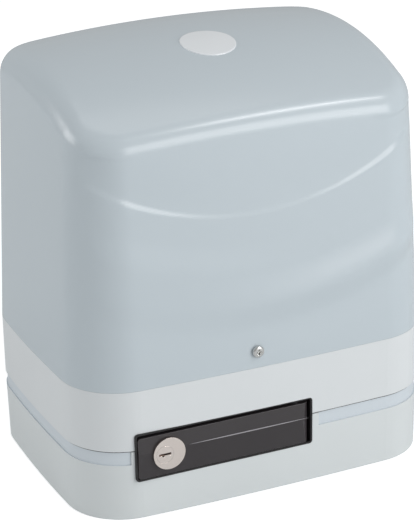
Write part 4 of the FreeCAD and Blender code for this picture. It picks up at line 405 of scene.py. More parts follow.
# Solder mask: glossy lacquer over the board.
BOARD = BoardMask("solder_mask_green", "135c36", 0.3)
RADIO = Finish("solder_mask_blue", "1c3f7a", 0.3)
# Fuse glass lets the board show through, and lamp epoxy far less.
GLASS = Finish("fuse_glass", "dfe8e6", 0.06, transmission=0.7)
LAMP = Finish("diffused_lamp_epoxy_green", "6fc27a", 0.25, transmission=0.2)

DRESS: dict[str, Finish] = {node: finish for finish, nodes in (
    (COVER_ABS, "cover"), (BADGE, "cover_badge"),
    (BASE_PAINT, "base_casting"), (BAND_PAINT, "upper_casting"),
    (BARE_CAST, "front_bearing_bracket motor_lower_cup motor_top_cup"),
    (HANDLE_NYLON, "release_handle"), (LOCK_NICKEL, "lock_housing lock_plug"),
    (BLACK_NYLON_AND_PAINTED_SHADE, "release_pocket limit_switch_box limit_spindle"),
    (STAINLESS, "cover_screw_front cover_screw_rear"), (SPRING, "limit_lever"),
    (ZINC, "casing_bolts levelling_screws cover_nuts pinion_washer pinion_bolt release_fork "
           "motor_tie_bolts board_screws capacitor_clip"),
    (GROUND, "output_shaft pinion_key clutch_sleeve worm_shaft release_spindle"),
    (GEAR, "pinion"), (BRONZE, "worm_wheel"),
    (BEARING, "rear_bearing_inner rear_bearing_outer front_bearing_inner front_bearing_outer "
              "lower_bearing_inner lower_bearing_outer upper_bearing_inner upper_bearing_outer"),
    (LAMINATED, "rotor_core motor_stator"), (LAMINATED_CORE, "transformer_core"),
    (COPPER, "motor_windings"), (TAPE, "transformer_coil"),
    (RUBBER, "casing_gasket output_seal cable_grommet"),
    (TRAY, "board_tray"), (CAN, "motor_capacitor"), (RELAY, "relays"), (CHIP, "board_chips"),
    (TERMINAL, "terminal_blocks_supply terminal_blocks_motor terminal_blocks_control"),
    (BOARD, "control_board"), (RADIO, "radio_module"), (GLASS, "fuses"),
) for node in nodes.split()}


def show(name: str, data: Any) -> Object:
    """Put something in the scene at the origin.

    Args:
        name: the object's name.
        data: its mesh, light or camera.

    Returns:
        The object.
    """
    thing = bpy.data.objects.new(name, data)
    bpy.context.scene.collection.objects.link(thing)
    return thing


def bridge(rings: int, sides: int) -> list[Face]:
    """Join rings of points, each with the same number of sides, by four-sided faces."""
    return [(i * sides + k, (i + 1) * sides + k,
             (i + 1) * sides + (k + 1) % sides, i * sides + (k + 1) % sides)
            for i in range(rings - 1) for k in range(sides)]


def solid(name: str, points: list[Point], faces: list[Face], weld: bool = True) -> Object:
    """Make an object from points and faces.

    Args:
        name: the object's name.
        points: its points.
        faces: its faces.
        weld: whether to merge its poles and turn its faces outward.

    Returns:
        The object.
    """
    mesh = bpy.data.meshes.new(name)
    mesh.from_pydata(points, [], faces)
    if weld:
        shape = bmesh.new()
        shape.from_mesh(mesh)
        bmesh.ops.remove_doubles(shape, verts=shape.verts, dist=1e-7)
        bmesh.ops.recalc_face_normals(shape, faces=shape.faces)
        shape.to_mesh(mesh)
        shape.free()
    return show(name, mesh)


def settle(piece: Object) -> None:
    """Turn a piece with its modifiers into a plain mesh.

    Args:
        piece: the piece, left without modifiers.
    """
    graph = bpy.context.evaluated_depsgraph_get()
    mesh = bpy.data.meshes.new_from_object(piece.evaluated_get(graph))
    piece.modifiers.clear()
    piece.data = mesh
    mesh.name = piece.name


def carve(piece: Object, tools: list[Object]) -> None:
    """Cut tools out of a piece and throw them away.

    Args:
        piece: the piece, whose other modifiers are settled with the cuts.
        tools: closed shapes.
    """
    for tool in tools:
        cut = piece.modifiers.new(tool.name, "BOOLEAN")
        cut.object = tool
        cut.operation = "DIFFERENCE"
    settle(piece)
    for tool in tools:
        bpy.data.objects.remove(tool)


def polish(piece: Object, finish: Finish, crease: float) -> None:
    """Shade a piece smoothly up to its creases, give it its finish and report it.

    Args:
        piece: the piece.
        finish: what it is made of.
        crease: degrees from which an edge stays sharp.
    """
    mesh = piece.data
    for face in mesh.polygons:
        face.use_smooth = True
    mesh.set_sharp_from_angle(angle=math.radians(crease))
    mesh.materials.clear()
    mesh.materials.append(finish.make())
    log.info("%s: %d faces", piece.name, len(mesh.polygons))


@dataclass(frozen=True)
class Panel:
    """A rectangular soft lamp that looks at the unit."""

    name: str
    place: Point
    length: float
    width: float
    watts: float


@dataclass
class Studio:
    """Camera, floor and soft lamps."""

    eye: Vector = field(default_factory=lambda: Vector((-0.5761, -1.2943, 0.7058)))
    target: Vector = field(default_factory=lambda: Vector((0.0004, -0.0002, 0.1396)))
    lens: float = 142.43
    roll: float = math.radians(-1.29)
    panels: tuple[Panel, ...] = (
        Panel("key_panel", (1.0, -2.0, 0.7), 1.5, 1.05, 20.8),
        Panel("fill_panel", (-2.1, 0.9, 0.8), 1.4, 0.98, 15.8),
        Panel("top_panel", (0.1, 0.2, 2.0), 1.3, 0.91, 3.6),
        Panel("strip_panel", (1.0, -1.1, 1.9), 0.9, 0.099, 9.0),
    )
    lit: Vector = field(default_factory=lambda: Vector((0.0, 0.0, 0.15)))
    sky: float = 0.44
    floor_reach: float = 4.0
    floor_gap: float = 0.2 * MM
    floor_colour: str = "e2e4e5"
    floor_glow: float = 0.57

    def build(self) -> None:
        """Make the camera first, then the world, lamps and floor."""
        self.make_camera()
        self.make_world()
        self.make_lamps()
        self.make_floor()

    def make_camera(self) -> None:
        """Look at the unit from the left and above, with a slight roll."""
        data = bpy.data.cameras.new("camera")
        data.lens = self.lens
        data.sensor_width = 36.0
        data.sensor_fit = "AUTO"
        data.clip_end = 20.0
        camera = show("camera", data)
        aim = (self.target - self.eye).to_track_quat("-Z", "Y").to_matrix().to_4x4()
        camera.matrix_world = Matrix.Translation(self.eye) @ aim @ Matrix.Rotation(self.roll, 4, "Z")
        bpy.context.scene.camera = camera

    def make_world(self) -> None:
        """Give even light, and a white background to whatever looks straight at it."""
        world = bpy.data.worlds.new("studio")
        bpy.context.scene.world = world
        world.use_nodes = True
        tree = world.node_tree
        tree.nodes.clear()
        path = add(tree, "ShaderNodeLightPath")
        seen = calc(tree, "MAXIMUM", path.outputs["Is Camera Ray"], path.outputs["Is Transmission Ray"])
        power = add(tree, "ShaderNodeMapRange", {"Value": seen, "To Min": self.sky, "To Max": 1.0})
        light = add(tree, "ShaderNodeBackground", {
            "Color": linear("ffffff"), "Strength": power.outputs["Result"]})
        add(tree, "ShaderNodeOutputWorld", {"Surface": light.outputs[0]})

    def make_lamps(self) -> None:
        """Hang large soft panels round the unit, and a narrow one that draws the rim's highlight."""
        for panel in self.panels:
            data = bpy.data.lights.new(panel.name, "AREA")
            data.shape = "RECTANGLE"
            data.size = panel.length
            data.size_y = panel.width
            data.energy = panel.watts
            lamp = show(panel.name, data)
            place = Vector(panel.place)
            aim = (self.lit - place).to_track_quat("-Z", "Y").to_matrix().to_4x4()
            lamp.matrix_world = Matrix.Translation(place) @ aim

    def make_floor(self) -> None:
        """Lay a pale floor that keeps the unit's shadow and looks white to the camera."""
        low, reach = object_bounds()[0].z - self.floor_gap, self.floor_reach
        floor = solid("floor", [(-reach, -reach, low), (reach, -reach, low), (reach, reach, low),
                                (-reach, reach, low)], [(0, 1, 2, 3)], weld=False)
        material = bpy.data.materials.new("pale_floor")
        material.use_nodes = True
        tree = material.node_tree
        tree.nodes.clear()
        path = add(tree, "ShaderNodeLightPath")
        matt = add(tree, "ShaderNodeBsdfDiffuse", {"Color": linear(self.floor_colour)})
        glow = add(tree, "ShaderNodeEmission", {"Color": linear("ffffff"), "Strength": self.floor_glow})
        both = add(tree, "ShaderNodeAddShader", {0: matt.outputs[0], 1: glow.outputs[0]})
        mix = add(tree, "ShaderNodeMixShader", {
            0: path.outputs["Is Camera Ray"], 1: matt.outputs[0], 2: both.outputs[0]})
        add(tree, "ShaderNodeOutputMaterial", {"Surface": mix.outputs[0]})
        floor.data.materials.append(material)
        floor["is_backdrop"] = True


@dataclass(frozen=True)
class Arc:
    """One arc of the cover's plan: its centre, radius and the directions its normal sweeps."""

    centre: tuple[float, float]
    radius: float
    start: float
    end: float
    steps: int


@dataclass(frozen=True)
class Bank:
    """A band with two eased edges, in millimetres of height over a guide line."""

    upper: float
    upper_run: float
    lower: float
    lower_run: float

    def at(self, height: float) -> float:
        """Give the share of the band at a height: 1 inside it, 0 far outside."""
        return (smooth((self.upper - height) / self.upper_run)
                * (1 - smooth((self.lower - height) / self.lower_run)))


@dataclass
class CoverShell:
    """The moulded cover: drafted walls on an eight-arc plan, a crowned top and the front's creases."""

    half_width: float = 140 * MM
    half_depth: float = 103 * MM
    corner: float = 44 * MM
    front_bow: float = 2400 * MM
    side_bow: float = 1300 * MM
    foot: float = 98.1 * MM
    draft: float = math.radians(2.8)
    wall: float = 3.0 * MM
    crown_top: float = 312.5 * MM
    crown_back: float = 26 * MM
    crown_bow: float = 228 * MM
    crown_span: float = 1055 * MM
    rim: float = 20 * MM
    front_steps: int = 130
    side_steps: int = 34
    corner_steps: int = 20
    wall_rows: int = 104
    rim_rows: int = 12
    crown_rows: int = 16
    # The crease and both swells are arcs round one centre on the front.
    crease_centre: tuple[float, float] = (-5 * MM, 432.6 * MM)
    crease_radius: float = 221 * MM
    swell_radius: float = 270 * MM
    ridge_radius: float = 293 * MM
    relief_reach: float = 114 * MM
    relief_fade: float = 20 * MM
    lip_reach: float = 110 * MM
    lip_mm: float = 0.3
    lip_end_mm: float = 1.4
    swell_mm: float = 1.1
    ridge_mm: float = 2.8
    lip_bank: Bank = Bank(1.2, 2.4, -4.0, 34.0)
    swell_bank: Bank = Bank(30.0, 24.0, 10.0, 30.0)
    ridge_bank: Bank = Bank(30.0, 26.0, 8.0, 22.0)
    under_bank: Bank = Bank(8.0, 22.0, -12.0, 26.0)
    under_share: float = 0.4
    # The swell fades out and the ridge grows along the front over these runs.
    swell_from_mm: float = -50.0
    swell_run_mm: float = 120.0
    ridge_from_mm: float = -80.0
    ridge_run_mm: float = 130.0
    ridge_least: float = 0.25
    # The creases show only where the plan's normal faces forward by more than this.
    facing_from: float = 0.3
    facing_run: float = 0.4
    screw_hole: float = 5.5 * MM
    screw_hole_length: float = 30 * MM
    notch_gap: float = 1.0 * MM
    notch_drop: float = 10 * MM
    notch_y: tuple[float, float] = (85 * MM, 115 * MM)

    def arcs(self) -> list[Arc]:
        """Work out the plan's eight arcs, so that offsets of the plan share their centres.

        Returns:
            The arcs, anticlockwise from the left end of the front.
        """
        fy, sx = self.front_bow - self.half_depth, self.side_bow - self.half_width
        cx, cy = self.half_width - self.corner, self.half_depth - self.corner
        for _ in range(20):  # moves the corner's centre until its arc touches both bows
            cx = math.sqrt((self.side_bow - self.corner) ** 2 - cy ** 2) - sx
            cy = math.sqrt((self.front_bow - self.corner) ** 2 - cx ** 2) - fy
        front = math.atan2(cx, cy + fy)
        side = math.atan2(cy, cx + sx)
        corner, turn = self.corner_steps, QUARTER
        return [
            Arc((0, fy), self.front_bow, -turn - front, -turn + front, self.front_steps),
            Arc((cx, -cy), self.corner, -turn + front, -side, corner),
            Arc((-sx, 0), self.side_bow, -side, side, self.side_steps),
            Arc((cx, cy), self.corner, side, turn - front, corner),
            Arc((0, -fy), self.front_bow, turn - front, turn + front, self.side_steps),
            Arc((-cx, cy), self.corner, turn + front, 2 * turn - side, corner),
            Arc((sx, 0), self.side_bow, 2 * turn - side, 2 * turn + side, self.side_steps),
            Arc((-cx, -cy), self.corner, 2 * turn + side, 3 * turn - front, corner),
        ]

    def crown(self, x: float, y: float) -> float:
        """Give the crown's height over a point of the plan."""
        along = self.crown_bow - math.sqrt(self.crown_bow ** 2 - (y - self.crown_back) ** 2)
        across = self.crown_span - math.sqrt(self.crown_span ** 2 - x * x)
        return self.crown_top - along - across

    def above(self, radius: float, x: float, z: float) -> float:
        """Give how many millimetres a point of the front lies above an arc of the creases."""
        centre_x, centre_z = self.crease_centre
        arc = centre_z - math.sqrt(max(radius ** 2 - (x - centre_x) ** 2, 1e-9))
        return (z - arc) / MM

    def relief(self, x: float, z: float) -> float:
        """Give how far the front stands out of its plain form.

        The surface above the crease lies back, so that the crease is a lip that faces up. A low swell
        runs under it on the left, and a higher ridge with a hollow below it grows toward the right.

        Args:
            x: place along the front.
            z: height.

        Returns:
            The distance outward, negative in a hollow.
        """
        side = min(1.0, abs(x) / self.lip_reach)
        lip = self.lip_mm + (self.lip_end_mm - self.lip_mm) * side ** 2
        swell = self.swell_mm * (1 - smooth((x / MM - self.swell_from_mm) / self.swell_run_mm))
        grown = smooth((x / MM - self.ridge_from_mm) / self.ridge_run_mm)
        ridge = self.ridge_mm * (self.ridge_least + (1 - self.ridge_least) * grown)
        to_ridge = self.above(self.ridge_radius, x, z)
        out = (ridge * self.ridge_bank.at(to_ridge)
               - self.under_share * ridge * self.under_bank.at(to_ridge)
               + swell * self.swell_bank.at(self.above(self.swell_radius, x, z))
               - lip * self.lip_bank.at(-self.above(self.crease_radius, x, z)))
        return out * (1.0 - smooth((abs(x) - self.relief_reach) / self.relief_fade)) * MM

    def rim_arc(self, at: Callable[[float], tuple[float, float]]) -> tuple[float, float, float, float]:
        """Find the rim's arc, which runs into the drafted wall and into the crown.

        Args:
            at: gives the plan's point at an inset.

        Returns:
            The inset and height of its centre, the inset where it meets the crown, and the crown's
            slope there.
        """
        touch = self.rim
        for _ in range(12):
            rise = (self.crown(*at(touch + MM)) - self.crown(*at(touch - MM))) / (2 * MM)
            lean = math.sqrt(1 + rise * rise)
            height = self.crown(*at(touch)) - self.rim / lean
            inset = (height - self.foot) * math.tan(self.draft) + self.rim / math.cos(self.draft)
            touch = inset - self.rim * rise / lean
        return inset, height, touch, rise

    def profile(self, arc: Arc, turn: float) -> list[Point]:
        """Follow one section of the shell from its foot over the rim to the crown's centre.

        Args:
            arc: the plan's arc that the section starts on.
            turn: direction of the plan's outward normal.

        Returns:
            Points from the foot to just short of the centre.
        """
        nx, ny = math.cos(turn), math.sin(turn)

        def at(inset: float) -> tuple[float, float]:
            """Give the plan's point at an inset from its outline."""
            reach = arc.radius - inset
            return arc.centre[0] + reach * nx, arc.centre[1] + reach * ny

        inset, height, touch, rise = self.rim_arc(at)
        top = height + self.rim * math.sin(self.draft)
        points: list[Point] = []
        for row in range(self.wall_rows):
            z = self.foot + (top - self.foot) * row / self.wall_rows
            x, y = at((z - self.foot) * math.tan(self.draft))
            if ny < 0:
                out = self.relief(x, z) * smooth((-ny - self.facing_from) / self.facing_run)
                x, y = x + out * nx, y + out * ny
            points.append((x, y, z))
        first, last = math.pi - self.draft, QUARTER + math.atan(rise)
        for row in range(self.rim_rows + 1):
            angle = first + (last - first) * row / self.rim_rows
            points.append((*at(inset + self.rim * math.cos(angle)), height + self.rim * math.sin(angle)))
        x0, y0 = at(touch)
        for row in range(1, self.crown_rows):
            x, y = (side * (1 - row / self.crown_rows) for side in (x0, y0))
            points.append((x, y, self.crown(x, y)))
        return points

    def build(self) -> None:
        """Skin the sections, thicken the skin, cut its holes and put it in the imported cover's place."""
        columns = [self.profile(arc, arc.start + (arc.end - arc.start) * k / arc.steps)
                   for arc in self.arcs() for k in range(arc.steps)]
        count, rows = len(columns), len(columns[0])
        points = [point for column in columns for point in column]
        points.append((0.0, 0.0, self.crown(0.0, 0.0)))
        faces: list[Face] = []
        for here in range(count):
            near, far = here * rows, (here + 1) % count * rows
            faces += [(near + r, far + r, far + r + 1, near + r + 1) for r in range(rows - 1)]
            faces.append((near + rows - 1, far + rows - 1, len(points) - 1))
        piece = solid("cover_shell", points, faces, weld=False)
        thick = piece.modifiers.new("wall", "SOLIDIFY")
        thick.thickness = self.wall
        thick.offset = -1.0
        carve(piece, [self.drill("cover_screw_front"), self.drill("cover_screw_rear"), self.notch()])
        polish(piece, COVER_ABS, 30)
        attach(piece, "cover")
        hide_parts("cover")

    def drill(self, node: str) -> Object:
        """Make a round tool along Y through a screw's place.

        Args:
            node: the screw.

        Returns:
            The tool.
        """
        low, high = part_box(node)
        shape = bmesh.new()
        bmesh.ops.create_cone(shape, cap_ends=True, segments=32, radius1=self.screw_hole / 2,
                              radius2=self.screw_hole / 2, depth=self.screw_hole_length)
        middle = Matrix.Translation([(a + b) / 2 for a, b in zip(low, high)])
        shape.transform(middle @ Matrix.Rotation(QUARTER, 4, "X"))
        return self.tool(shape, f"{node}_hole")

    def notch(self) -> Object:
        """Make a tool for the slot that lifts over the limit switch's spindle.

        Returns:
            The tool.
        """
        low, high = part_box("limit_spindle")
        near, far = ((low[0] - self.notch_gap, self.notch_y[0], self.foot - self.notch_drop),
                     (high[0] + self.notch_gap, self.notch_y[1], high[2] + self.notch_gap))
        shape = bmesh.new()
        bmesh.ops.create_cube(shape, size=1.0)
        for vert in shape.verts:
            vert.co = [far[i] if vert.co[i] > 0 else near[i] for i in range(3)]
        return self.tool(shape, "spindle_notch")

    def tool(self, shape: bmesh.types.BMesh, name: str) -> Object:
        """Turn a shape into an object for cutting with.

        Args:
            shape: the shape, freed here.
            name: the tool's name.

        Returns:
            The tool.
        """
        mesh = bpy.data.meshes.new(name)
        shape.to_mesh(mesh)
        shape.free()
        return show(name, mesh)


@dataclass
class CoverBadge:
    """The blank domed badge on the crown, in the same sweep as the cover under it."""

    shell: CoverShell
    back: float = -11 * MM
    radius: float = 20 * MM
    thickness: float = 0.8 * MM
    edge: float = 0.6 * MM
    edge_steps: int = 4
    bury: float = 0.3 * MM
    flat_rings: int = 12
    segments: int = 96

    def build(self) -> None:
        """Skin the disc over the crown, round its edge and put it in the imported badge's place."""
        rings = [(self.radius * k / self.flat_rings, self.thickness) for k in range(self.flat_rings)]
        for step in range(self.edge_steps + 1):
            angle = step / self.edge_steps * QUARTER
            rings.append((self.radius - self.edge * (1 - math.sin(angle)),
                          self.thickness - self.edge * (1 - math.cos(angle))))
        rings += [(self.radius, -self.bury), (0.0, -self.bury)]
        points: list[Point] = []
        for radius, height in rings:
            for k in range(self.segments):
                angle = 2 * math.pi * k / self.segments
                x, y = radius * math.cos(angle), self.back + radius * math.sin(angle)
                points.append((x, y, self.shell.crown(x, y) + height))
        piece = solid("cover_badge_domed", points, bridge(len(rings), self.segments))
        polish(piece, BADGE, 40)
        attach(piece, "cover")
        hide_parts("cover_badge")


@dataclass
class HandleRidgeRubAndHighlight:
    """A pale bead on the ridge across the release handle: a painted highlight of the ridge, partly also
    where hands rub it.
    """

    left: float = -62 * MM
    right: float = 31 * MM
    radius: float = 0.42 * MM
    steps: int = 40
    sides: int = 10

    def build(self) -> None:
        """Find the handle's foremost line, lay a slim tapered bead on it and let it turn with the handle."""
        verts = [vert.co for vert in bpy.data.objects["release_handle"].data.vertices]
        face = min(co.y for co in verts if co.x > self.left)
        heights = sorted(co.z for co in verts if co.x > self.left and co.y < face + 0.1 * MM)
        line = heights[len(heights) // 2]
        points: list[Point] = []
        for step in range(self.steps + 1):
            share = step / self.steps
            radius = self.radius * math.sqrt(max(0.02, math.sin(math.pi * share)))
            x = self.left + (self.right - self.left) * share
            points += [(x, face + radius * math.cos(turn), line + radius * math.sin(turn))
                       for turn in (2 * math.pi * k / self.sides for k in range(self.sides))]
        faces = bridge(self.steps + 1, self.sides)
        faces += [tuple(range(self.sides)), tuple(range(self.steps * self.sides, len(points)))]
        piece = solid("handle_ridge_rub_and_painted_highlight", points, faces)
        # The bead's pale finish is a painted highlight, with a little real rub.
        polish(piece, HANDLE_RUB_AND_PAINTED_HIGHLIGHT, 60)
        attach(piece, "release_handle")


@dataclass
class CoverScrew:
    """A captive pan-head screw with a cross recess, in place of the plain one."""

    node: str
    outward: float
    head_radius: float = 4.35 * MM
    head_height: float = 2.6 * MM
    head_flat: float = 0.62
    head_side: float = 0.45
    head_steps: int = 6
    shank_radius: float = 2.45 * MM
    tip_radius: float = 2.05 * MM
    thread_pitch: float = 0.8 * MM
    thread_depth: float = 0.25 * MM
    rings_per_turn: int = 6
    recess_arm: float = 2.3 * MM
    recess_web: float = 0.55 * MM
    recess_depth: float = 1.7 * MM
    recess_taper: float = 0.55
    segments: int = 48

    def build(self) -> None:
        """Turn the head, cut its recess, wind the thread and put the screw in its hole."""
        low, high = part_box(self.node)
        piece = self.turned(high[1] - low[1] - self.head_height)
        carve(piece, [self.recess()])
        seat = low[1] + self.head_height if self.outward < 0 else high[1] - self.head_height
        place = Matrix.Translation(((low[0] + high[0]) / 2, seat, (low[2] + high[2]) / 2))
        piece.data.transform(place @ Matrix.Rotation(-QUARTER * self.outward, 4, "X"))
        polish(piece, STAINLESS, 32)
        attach(piece, "cover")
        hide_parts(self.node)

    def turned(self, length: float) -> Object:
        """Build the screw along +Z, with its head above the origin and its shank below.

        Args:
            length: the shank's length.

        Returns:
            The screw.
        """
        rings: list[tuple[float, float, bool]] = [(0.0, self.head_height, False)]
        for step in range(1, self.head_steps + 1):
            angle = step / self.head_steps * QUARTER
            rings.append((self.head_radius * (self.head_flat + (1 - self.head_flat) * math.sin(angle)),
                          self.head_height * (self.head_side + (1 - self.head_side) * math.cos(angle)),
                          False))
        rings += [(self.head_radius, 0.0, False), (self.shank_radius, 0.0, False)]
        turns = int(length / self.thread_pitch * self.rings_per_turn)
        rings += [(self.shank_radius, -length * (k + 1) / (turns + 1), True) for k in range(turns)]
        rings += [(self.tip_radius, -length, False), (0.0, -length, False)]
        points: list[Point] = []
        for radius, height, threaded in rings:
            for k in range(self.segments):
                angle = 2 * math.pi * k / self.segments
                phase = (height / self.thread_pitch + k / self.segments) % 1.0
                r = radius - (self.thread_depth * abs(2 * phase - 1) * 2 if threaded else 0.0)
                points.append((r * math.cos(angle), r * math.sin(angle), height))
        return solid(f"{self.node}_turned", points, bridge(len(rings), self.segments))

    def recess(self) -> Object:
        """Build the cross-shaped tool for the recess, tapering down.

        Returns:
            The tool.
        """
        arm, web = self.recess_arm, self.recess_web
        plan = [(arm, web), (web, web), (web, arm), (-web, arm), (-web, web), (-arm, web),
                (-arm, -web), (-web, -web), (-web, -arm), (web, -arm), (web, -web), (arm, -web)]
        top, foot = self.head_height + 0.5 * MM, self.head_height - self.recess_depth
        taper, count = self.recess_taper, len(plan)
        points = [(x, y, top) for x, y in plan] + [(x * taper, y * taper, foot) for x, y in plan]
        faces: list[Face] = [tuple(range(count)), tuple(range(2 * count - 1, count - 1, -1))]
        faces += [(k, k + count, (k + 1) % count + count, (k + 1) % count) for k in range(count)]
        return solid("recess_tool", points, faces, weld=False)


class Pattern:
    """A geometry tree with named inputs that repeats a small part, in one finish."""

    KINDS = {int: "NodeSocketInt", float: "NodeSocketFloat", tuple: "NodeSocketVector"}

    def __init__(self, name: str, sizes: dict[str, int | float | Point]) -> None:
        """Start the tree.

        Args:
            name: the piece's name.
            sizes: input name to value. A row has Count, Start and Step.
        """
        self.name = name
        self.sizes = sizes
        self.tree = bpy.data.node_groups.new(name, "GeometryNodeTree")
        self.tree.interface.new_socket("Geometry", in_out="OUTPUT", socket_type="NodeSocketGeometry")
        for label, value in sizes.items():
            self.tree.interface.new_socket(label, in_out="INPUT", socket_type=self.KINDS[type(value)])
        self.inputs = add(self.tree, "NodeGroupInput").outputs

    def row(self, shape: NodeSocket, turn: Point = (0.0, 0.0, 0.0)) -> NodeSocket:
        """Repeat a shape along a line.

        Args:
            shape: what to repeat.
            turn: rotation of each one.

        Returns:
            The socket that carries the row.
        """
        line = add(self.tree, "GeometryNodeMeshLine", {
            "Count": self.inputs["Count"], "Start Location": self.inputs["Start"],
            "Offset": self.inputs["Step"]}, mode="OFFSET")
        return add(self.tree, "GeometryNodeInstanceOnPoints", {
            "Points": line.outputs[0], "Instance": shape, "Rotation": turn}).outputs[0]

    def grow(self, shapes: NodeSocket, finish: Finish,
             place: Matrix = Matrix.Identity(4)) -> None:
        """Run the tree, keep its result as a plain mesh and let that ride on the base.

        Args:
            shapes: the tree's geometry so far.
            finish: what the piece is made of.
            place: where the mesh goes.
        """
        real = add(self.tree, "GeometryNodeRealizeInstances", {"Geometry": shapes})
        done = add(self.tree, "GeometryNodeSetMaterial", {
            "Geometry": real.outputs[0], "Material": finish.make()})
        add(self.tree, "NodeGroupOutput", {"Geometry": done.outputs[0]})
        piece = show(self.name, bpy.data.meshes.new(self.name))
        modifier = piece.modifiers.new("pattern", "NODES")
        modifier.node_group = self.tree
        for item in self.tree.interface.items_tree:
            if item.in_out == "INPUT":
                modifier[item.identifier] = self.sizes[item.name]
        settle(piece)
        piece.data.transform(place)
        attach(piece, "base")
        log.info("%s: %d faces", piece.name, len(piece.data.polygons))


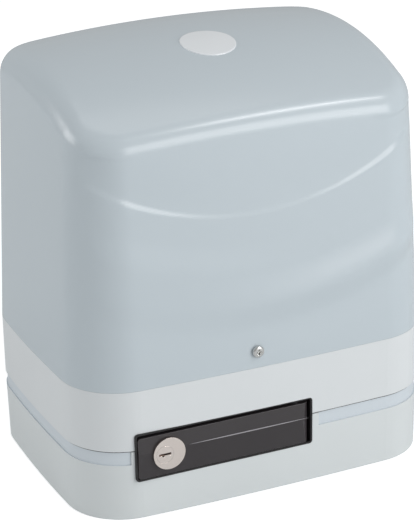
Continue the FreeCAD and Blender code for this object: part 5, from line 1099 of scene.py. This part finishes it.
@dataclass
class ControlBoard:
    """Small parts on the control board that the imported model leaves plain."""

    clear: float = 3 * MM
    screw_radius: float = 1.5 * MM
    screw_height: float = 1.2 * MM
    screw_slot: Point = (4 * MM, 0.5 * MM, 0.6 * MM)
    screw_pitch: float = 5.0 * MM
    screw_slope: float = math.radians(39)
    # A terminal screw's place in its block, as shares of the block's depth and height.
    screw_share: tuple[float, float] = (0.19, 0.81)
    chip_size: Point = (2.0 * MM, 1.2 * MM, 0.9 * MM)
    chip_grid: tuple[int, int] = (14, 4)
    chip_gaps: float = 0.28
    chip_seed: int = 7
    chip_margins: tuple[float, float] = (6 * MM, 14 * MM)
    can_count: int = 3
    can_start: float = 6 * MM
    can_radius: float = 4.0 * MM
    can_height: float = 12.0 * MM
    can_groove: float = 0.35 * MM
    # Radii from one can to the next, and the groove's share of the height below the middle.
    can_spread: float = 2.6
    groove_share: float = 0.35
    pin_count: int = 10
    pin_start: float = -52 * MM
    pin_pitch: float = 2.54 * MM
    pin_side: float = 0.64 * MM
    pin_length: float = 8.0 * MM
    pin_drop: float = 4 * MM
    lamp_count: int = 3
    lamp_start: float = 44 * MM
    lamp_pitch: float = 7 * MM
    lamp_radius: float = 1.5 * MM
    lamp_lift: float = 0.8 * MM
    lamp_drop: float = 5 * MM

    def build(self) -> None:
        """Add terminal screws, surface-mount parts, capacitor cans, header pins and lamps."""
        for node in ("terminal_blocks_supply", "terminal_blocks_motor", "terminal_blocks_control"):
            self.terminal_screws(node)
        self.surface_parts()
        self.cans()
        self.header()
        self.lamps()

    def terminal_screws(self, node: str) -> None:
        """Set a slotted screw in the sloping face over every way of a terminal block.

        Args:
            node: the terminal block.
        """
        low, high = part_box(node)
        deep, up = self.screw_share
        ways = Pattern(f"{node}_screws", {
            "Count": round((high[0] - low[0]) / self.screw_pitch), "Step": (self.screw_pitch, 0.0, 0.0),
            "Start": (low[0] + self.screw_pitch / 2, low[1] + (high[1] - low[1]) * deep,
                      low[2] + (high[2] - low[2]) * up),
            "Radius": self.screw_radius})
        head = add(ways.tree, "GeometryNodeMeshCylinder", {
            "Vertices": 20, "Radius": ways.inputs["Radius"], "Depth": self.screw_height})
        slot = add(ways.tree, "GeometryNodeMeshCube", {"Size": self.screw_slot})
        sunk = add(ways.tree, "GeometryNodeTransform", {
            "Geometry": slot.outputs[0], "Translation": (0.0, 0.0, self.screw_height / 2)})
        cut = add(ways.tree, "GeometryNodeMeshBoolean", {
            "Mesh 1": head.outputs["Mesh"], "Mesh 2": sunk.outputs[0]}, operation="DIFFERENCE")
        ways.grow(ways.row(cut.outputs["Mesh"], (self.screw_slope, 0.0, 0.0)), ZINC)

    def surface_parts(self) -> None:
        """Scatter small resistors and capacitors on a grid between the terminals and the relays."""
        low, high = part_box("control_board")
        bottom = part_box("terminal_blocks_control")[1][2] + self.clear
        roof = min(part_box("relays")[0][2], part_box("board_chips")[0][2]) - self.clear
        left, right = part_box("fuses")[1][0] + self.chip_margins[0], high[0] - self.chip_margins[1]
        chips = Pattern("surface_parts", {
            "Width": right - left, "Height": roof - bottom, "Columns": self.chip_grid[0],
            "Rows": self.chip_grid[1], "Seed": self.chip_seed})
        tree, sizes = chips.tree, chips.inputs
        grid = add(tree, "GeometryNodeMeshGrid", {
            "Size X": sizes["Width"], "Size Y": sizes["Height"],
            "Vertices X": sizes["Columns"], "Vertices Y": sizes["Rows"]})
        gone = add(tree, "FunctionNodeRandomValue", {
            "Probability": self.chip_gaps, "Seed": sizes["Seed"]}, data_type="BOOLEAN")
        kept = add(tree, "GeometryNodeDeleteGeometry", {
            "Geometry": grid.outputs["Mesh"], "Selection": gone.outputs[3]}, domain="POINT")
        block = add(tree, "GeometryNodeMeshCube", {"Size": self.chip_size})
        turn = add(tree, "FunctionNodeRandomValue", {4: 0, 5: 1, "Seed": sizes["Seed"]}, data_type="INT")
        spin = add(tree, "ShaderNodeCombineXYZ", {"Z": calc(tree, "MULTIPLY", turn.outputs[2], QUARTER)})
        spread = add(tree, "GeometryNodeInstanceOnPoints", {
            "Points": kept.outputs[0], "Instance": block.outputs[0], "Rotation": spin.outputs[0]})
        middle = Matrix.Translation(((left + right) / 2, low[1] - self.chip_size[2] / 2,
                                     (bottom + roof) / 2))
        chips.grow(spread.outputs[0], CHIP, middle @ Matrix.Rotation(QUARTER, 4, "X"))

    def cans(self) -> None:
        """Stand a row of electrolytic cans, each with its rolled groove, on the board's upper right."""
        face, chips_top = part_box("control_board")[0][1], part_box("board_chips")[1][2]
        cans = Pattern("capacitor_cans", {
            "Count": self.can_count, "Step": (self.can_radius * self.can_spread, 0.0, 0.0),
            "Start": (self.can_start, face - self.can_height / 2,
                      chips_top + self.can_radius + self.clear),
            "Radius": self.can_radius, "Height": self.can_height})
        tree, sizes = cans.tree, cans.inputs
        body = add(tree, "GeometryNodeMeshCylinder", {
            "Vertices": 32, "Radius": sizes["Radius"], "Depth": sizes["Height"]})
        path = add(tree, "GeometryNodeCurvePrimitiveCircle", {"Resolution": 32, "Radius": sizes["Radius"]})
        thin = add(tree, "GeometryNodeCurvePrimitiveCircle", {"Resolution": 6, "Radius": self.can_groove})
        ring = add(tree, "GeometryNodeCurveToMesh", {
            "Curve": path.outputs[0], "Profile Curve": thin.outputs[0]})
        lower = add(tree, "GeometryNodeTransform", {
            "Geometry": ring.outputs[0], "Translation": (0.0, 0.0, -self.groove_share * self.can_height)})
        both = add(tree, "GeometryNodeJoinGeometry")
        for part in (body.outputs["Mesh"], lower.outputs[0]):
            tree.links.new(part, both.inputs[0])
        cans.grow(cans.row(both.outputs[0], (QUARTER, 0.0, 0.0)), STAINLESS)

    def header(self) -> None:
        """Add a strip of plug pins along the board's upper edge."""
        low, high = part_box("control_board")
        pins = Pattern("header_pins", {
            "Count": self.pin_count, "Step": (self.pin_pitch, 0.0, 0.0),
            "Start": (self.pin_start, low[1] - self.pin_length / 2, high[2] - self.pin_drop)})
        pin = add(pins.tree, "GeometryNodeMeshCube", {
            "Size": (self.pin_side, self.pin_length, self.pin_side)})
        pins.grow(pins.row(pin.outputs[0]), BRONZE)

    def lamps(self) -> None:
        """Add three indicator lamps with domed lenses."""
        low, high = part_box("control_board")
        lamps = Pattern("indicator_lamps", {
            "Count": self.lamp_count, "Step": (self.lamp_pitch, 0.0, 0.0), "Radius": self.lamp_radius,
            "Start": (self.lamp_start, low[1] - self.lamp_lift, high[2] - self.lamp_drop)})
        dome = add(lamps.tree, "GeometryNodeMeshUVSphere", {
            "Segments": 16, "Rings": 8, "Radius": lamps.inputs["Radius"]})
        lamps.grow(lamps.row(dome.outputs[0]), LAMP)


def dress(nodes: dict[str, Object]) -> None:
    """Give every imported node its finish.

    Args:
        nodes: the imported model's nodes by name.
    """
    for name, node in nodes.items():
        material = DRESS[name].make()
        node.data.materials.clear()
        node.data.materials.append(material)
        log.info("%s: %s", name, material.name)


def main() -> None:
    """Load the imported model, dress it and add the fine pieces."""
    logging.basicConfig(level=logging.INFO, format="%(message)s")
    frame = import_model()
    bpy.context.scene.view_settings.view_transform = "Standard"
    Studio().build()
    dress(frame["nodes"])
    shell = CoverShell()
    shell.build()
    CoverBadge(shell).build()
    HandleRidgeRubAndHighlight().build()
    CoverScrew("cover_screw_front", -1.0).build()
    CoverScrew("cover_screw_rear", 1.0).build()
    ControlBoard().build()


if __name__ == "__main__":
    main()
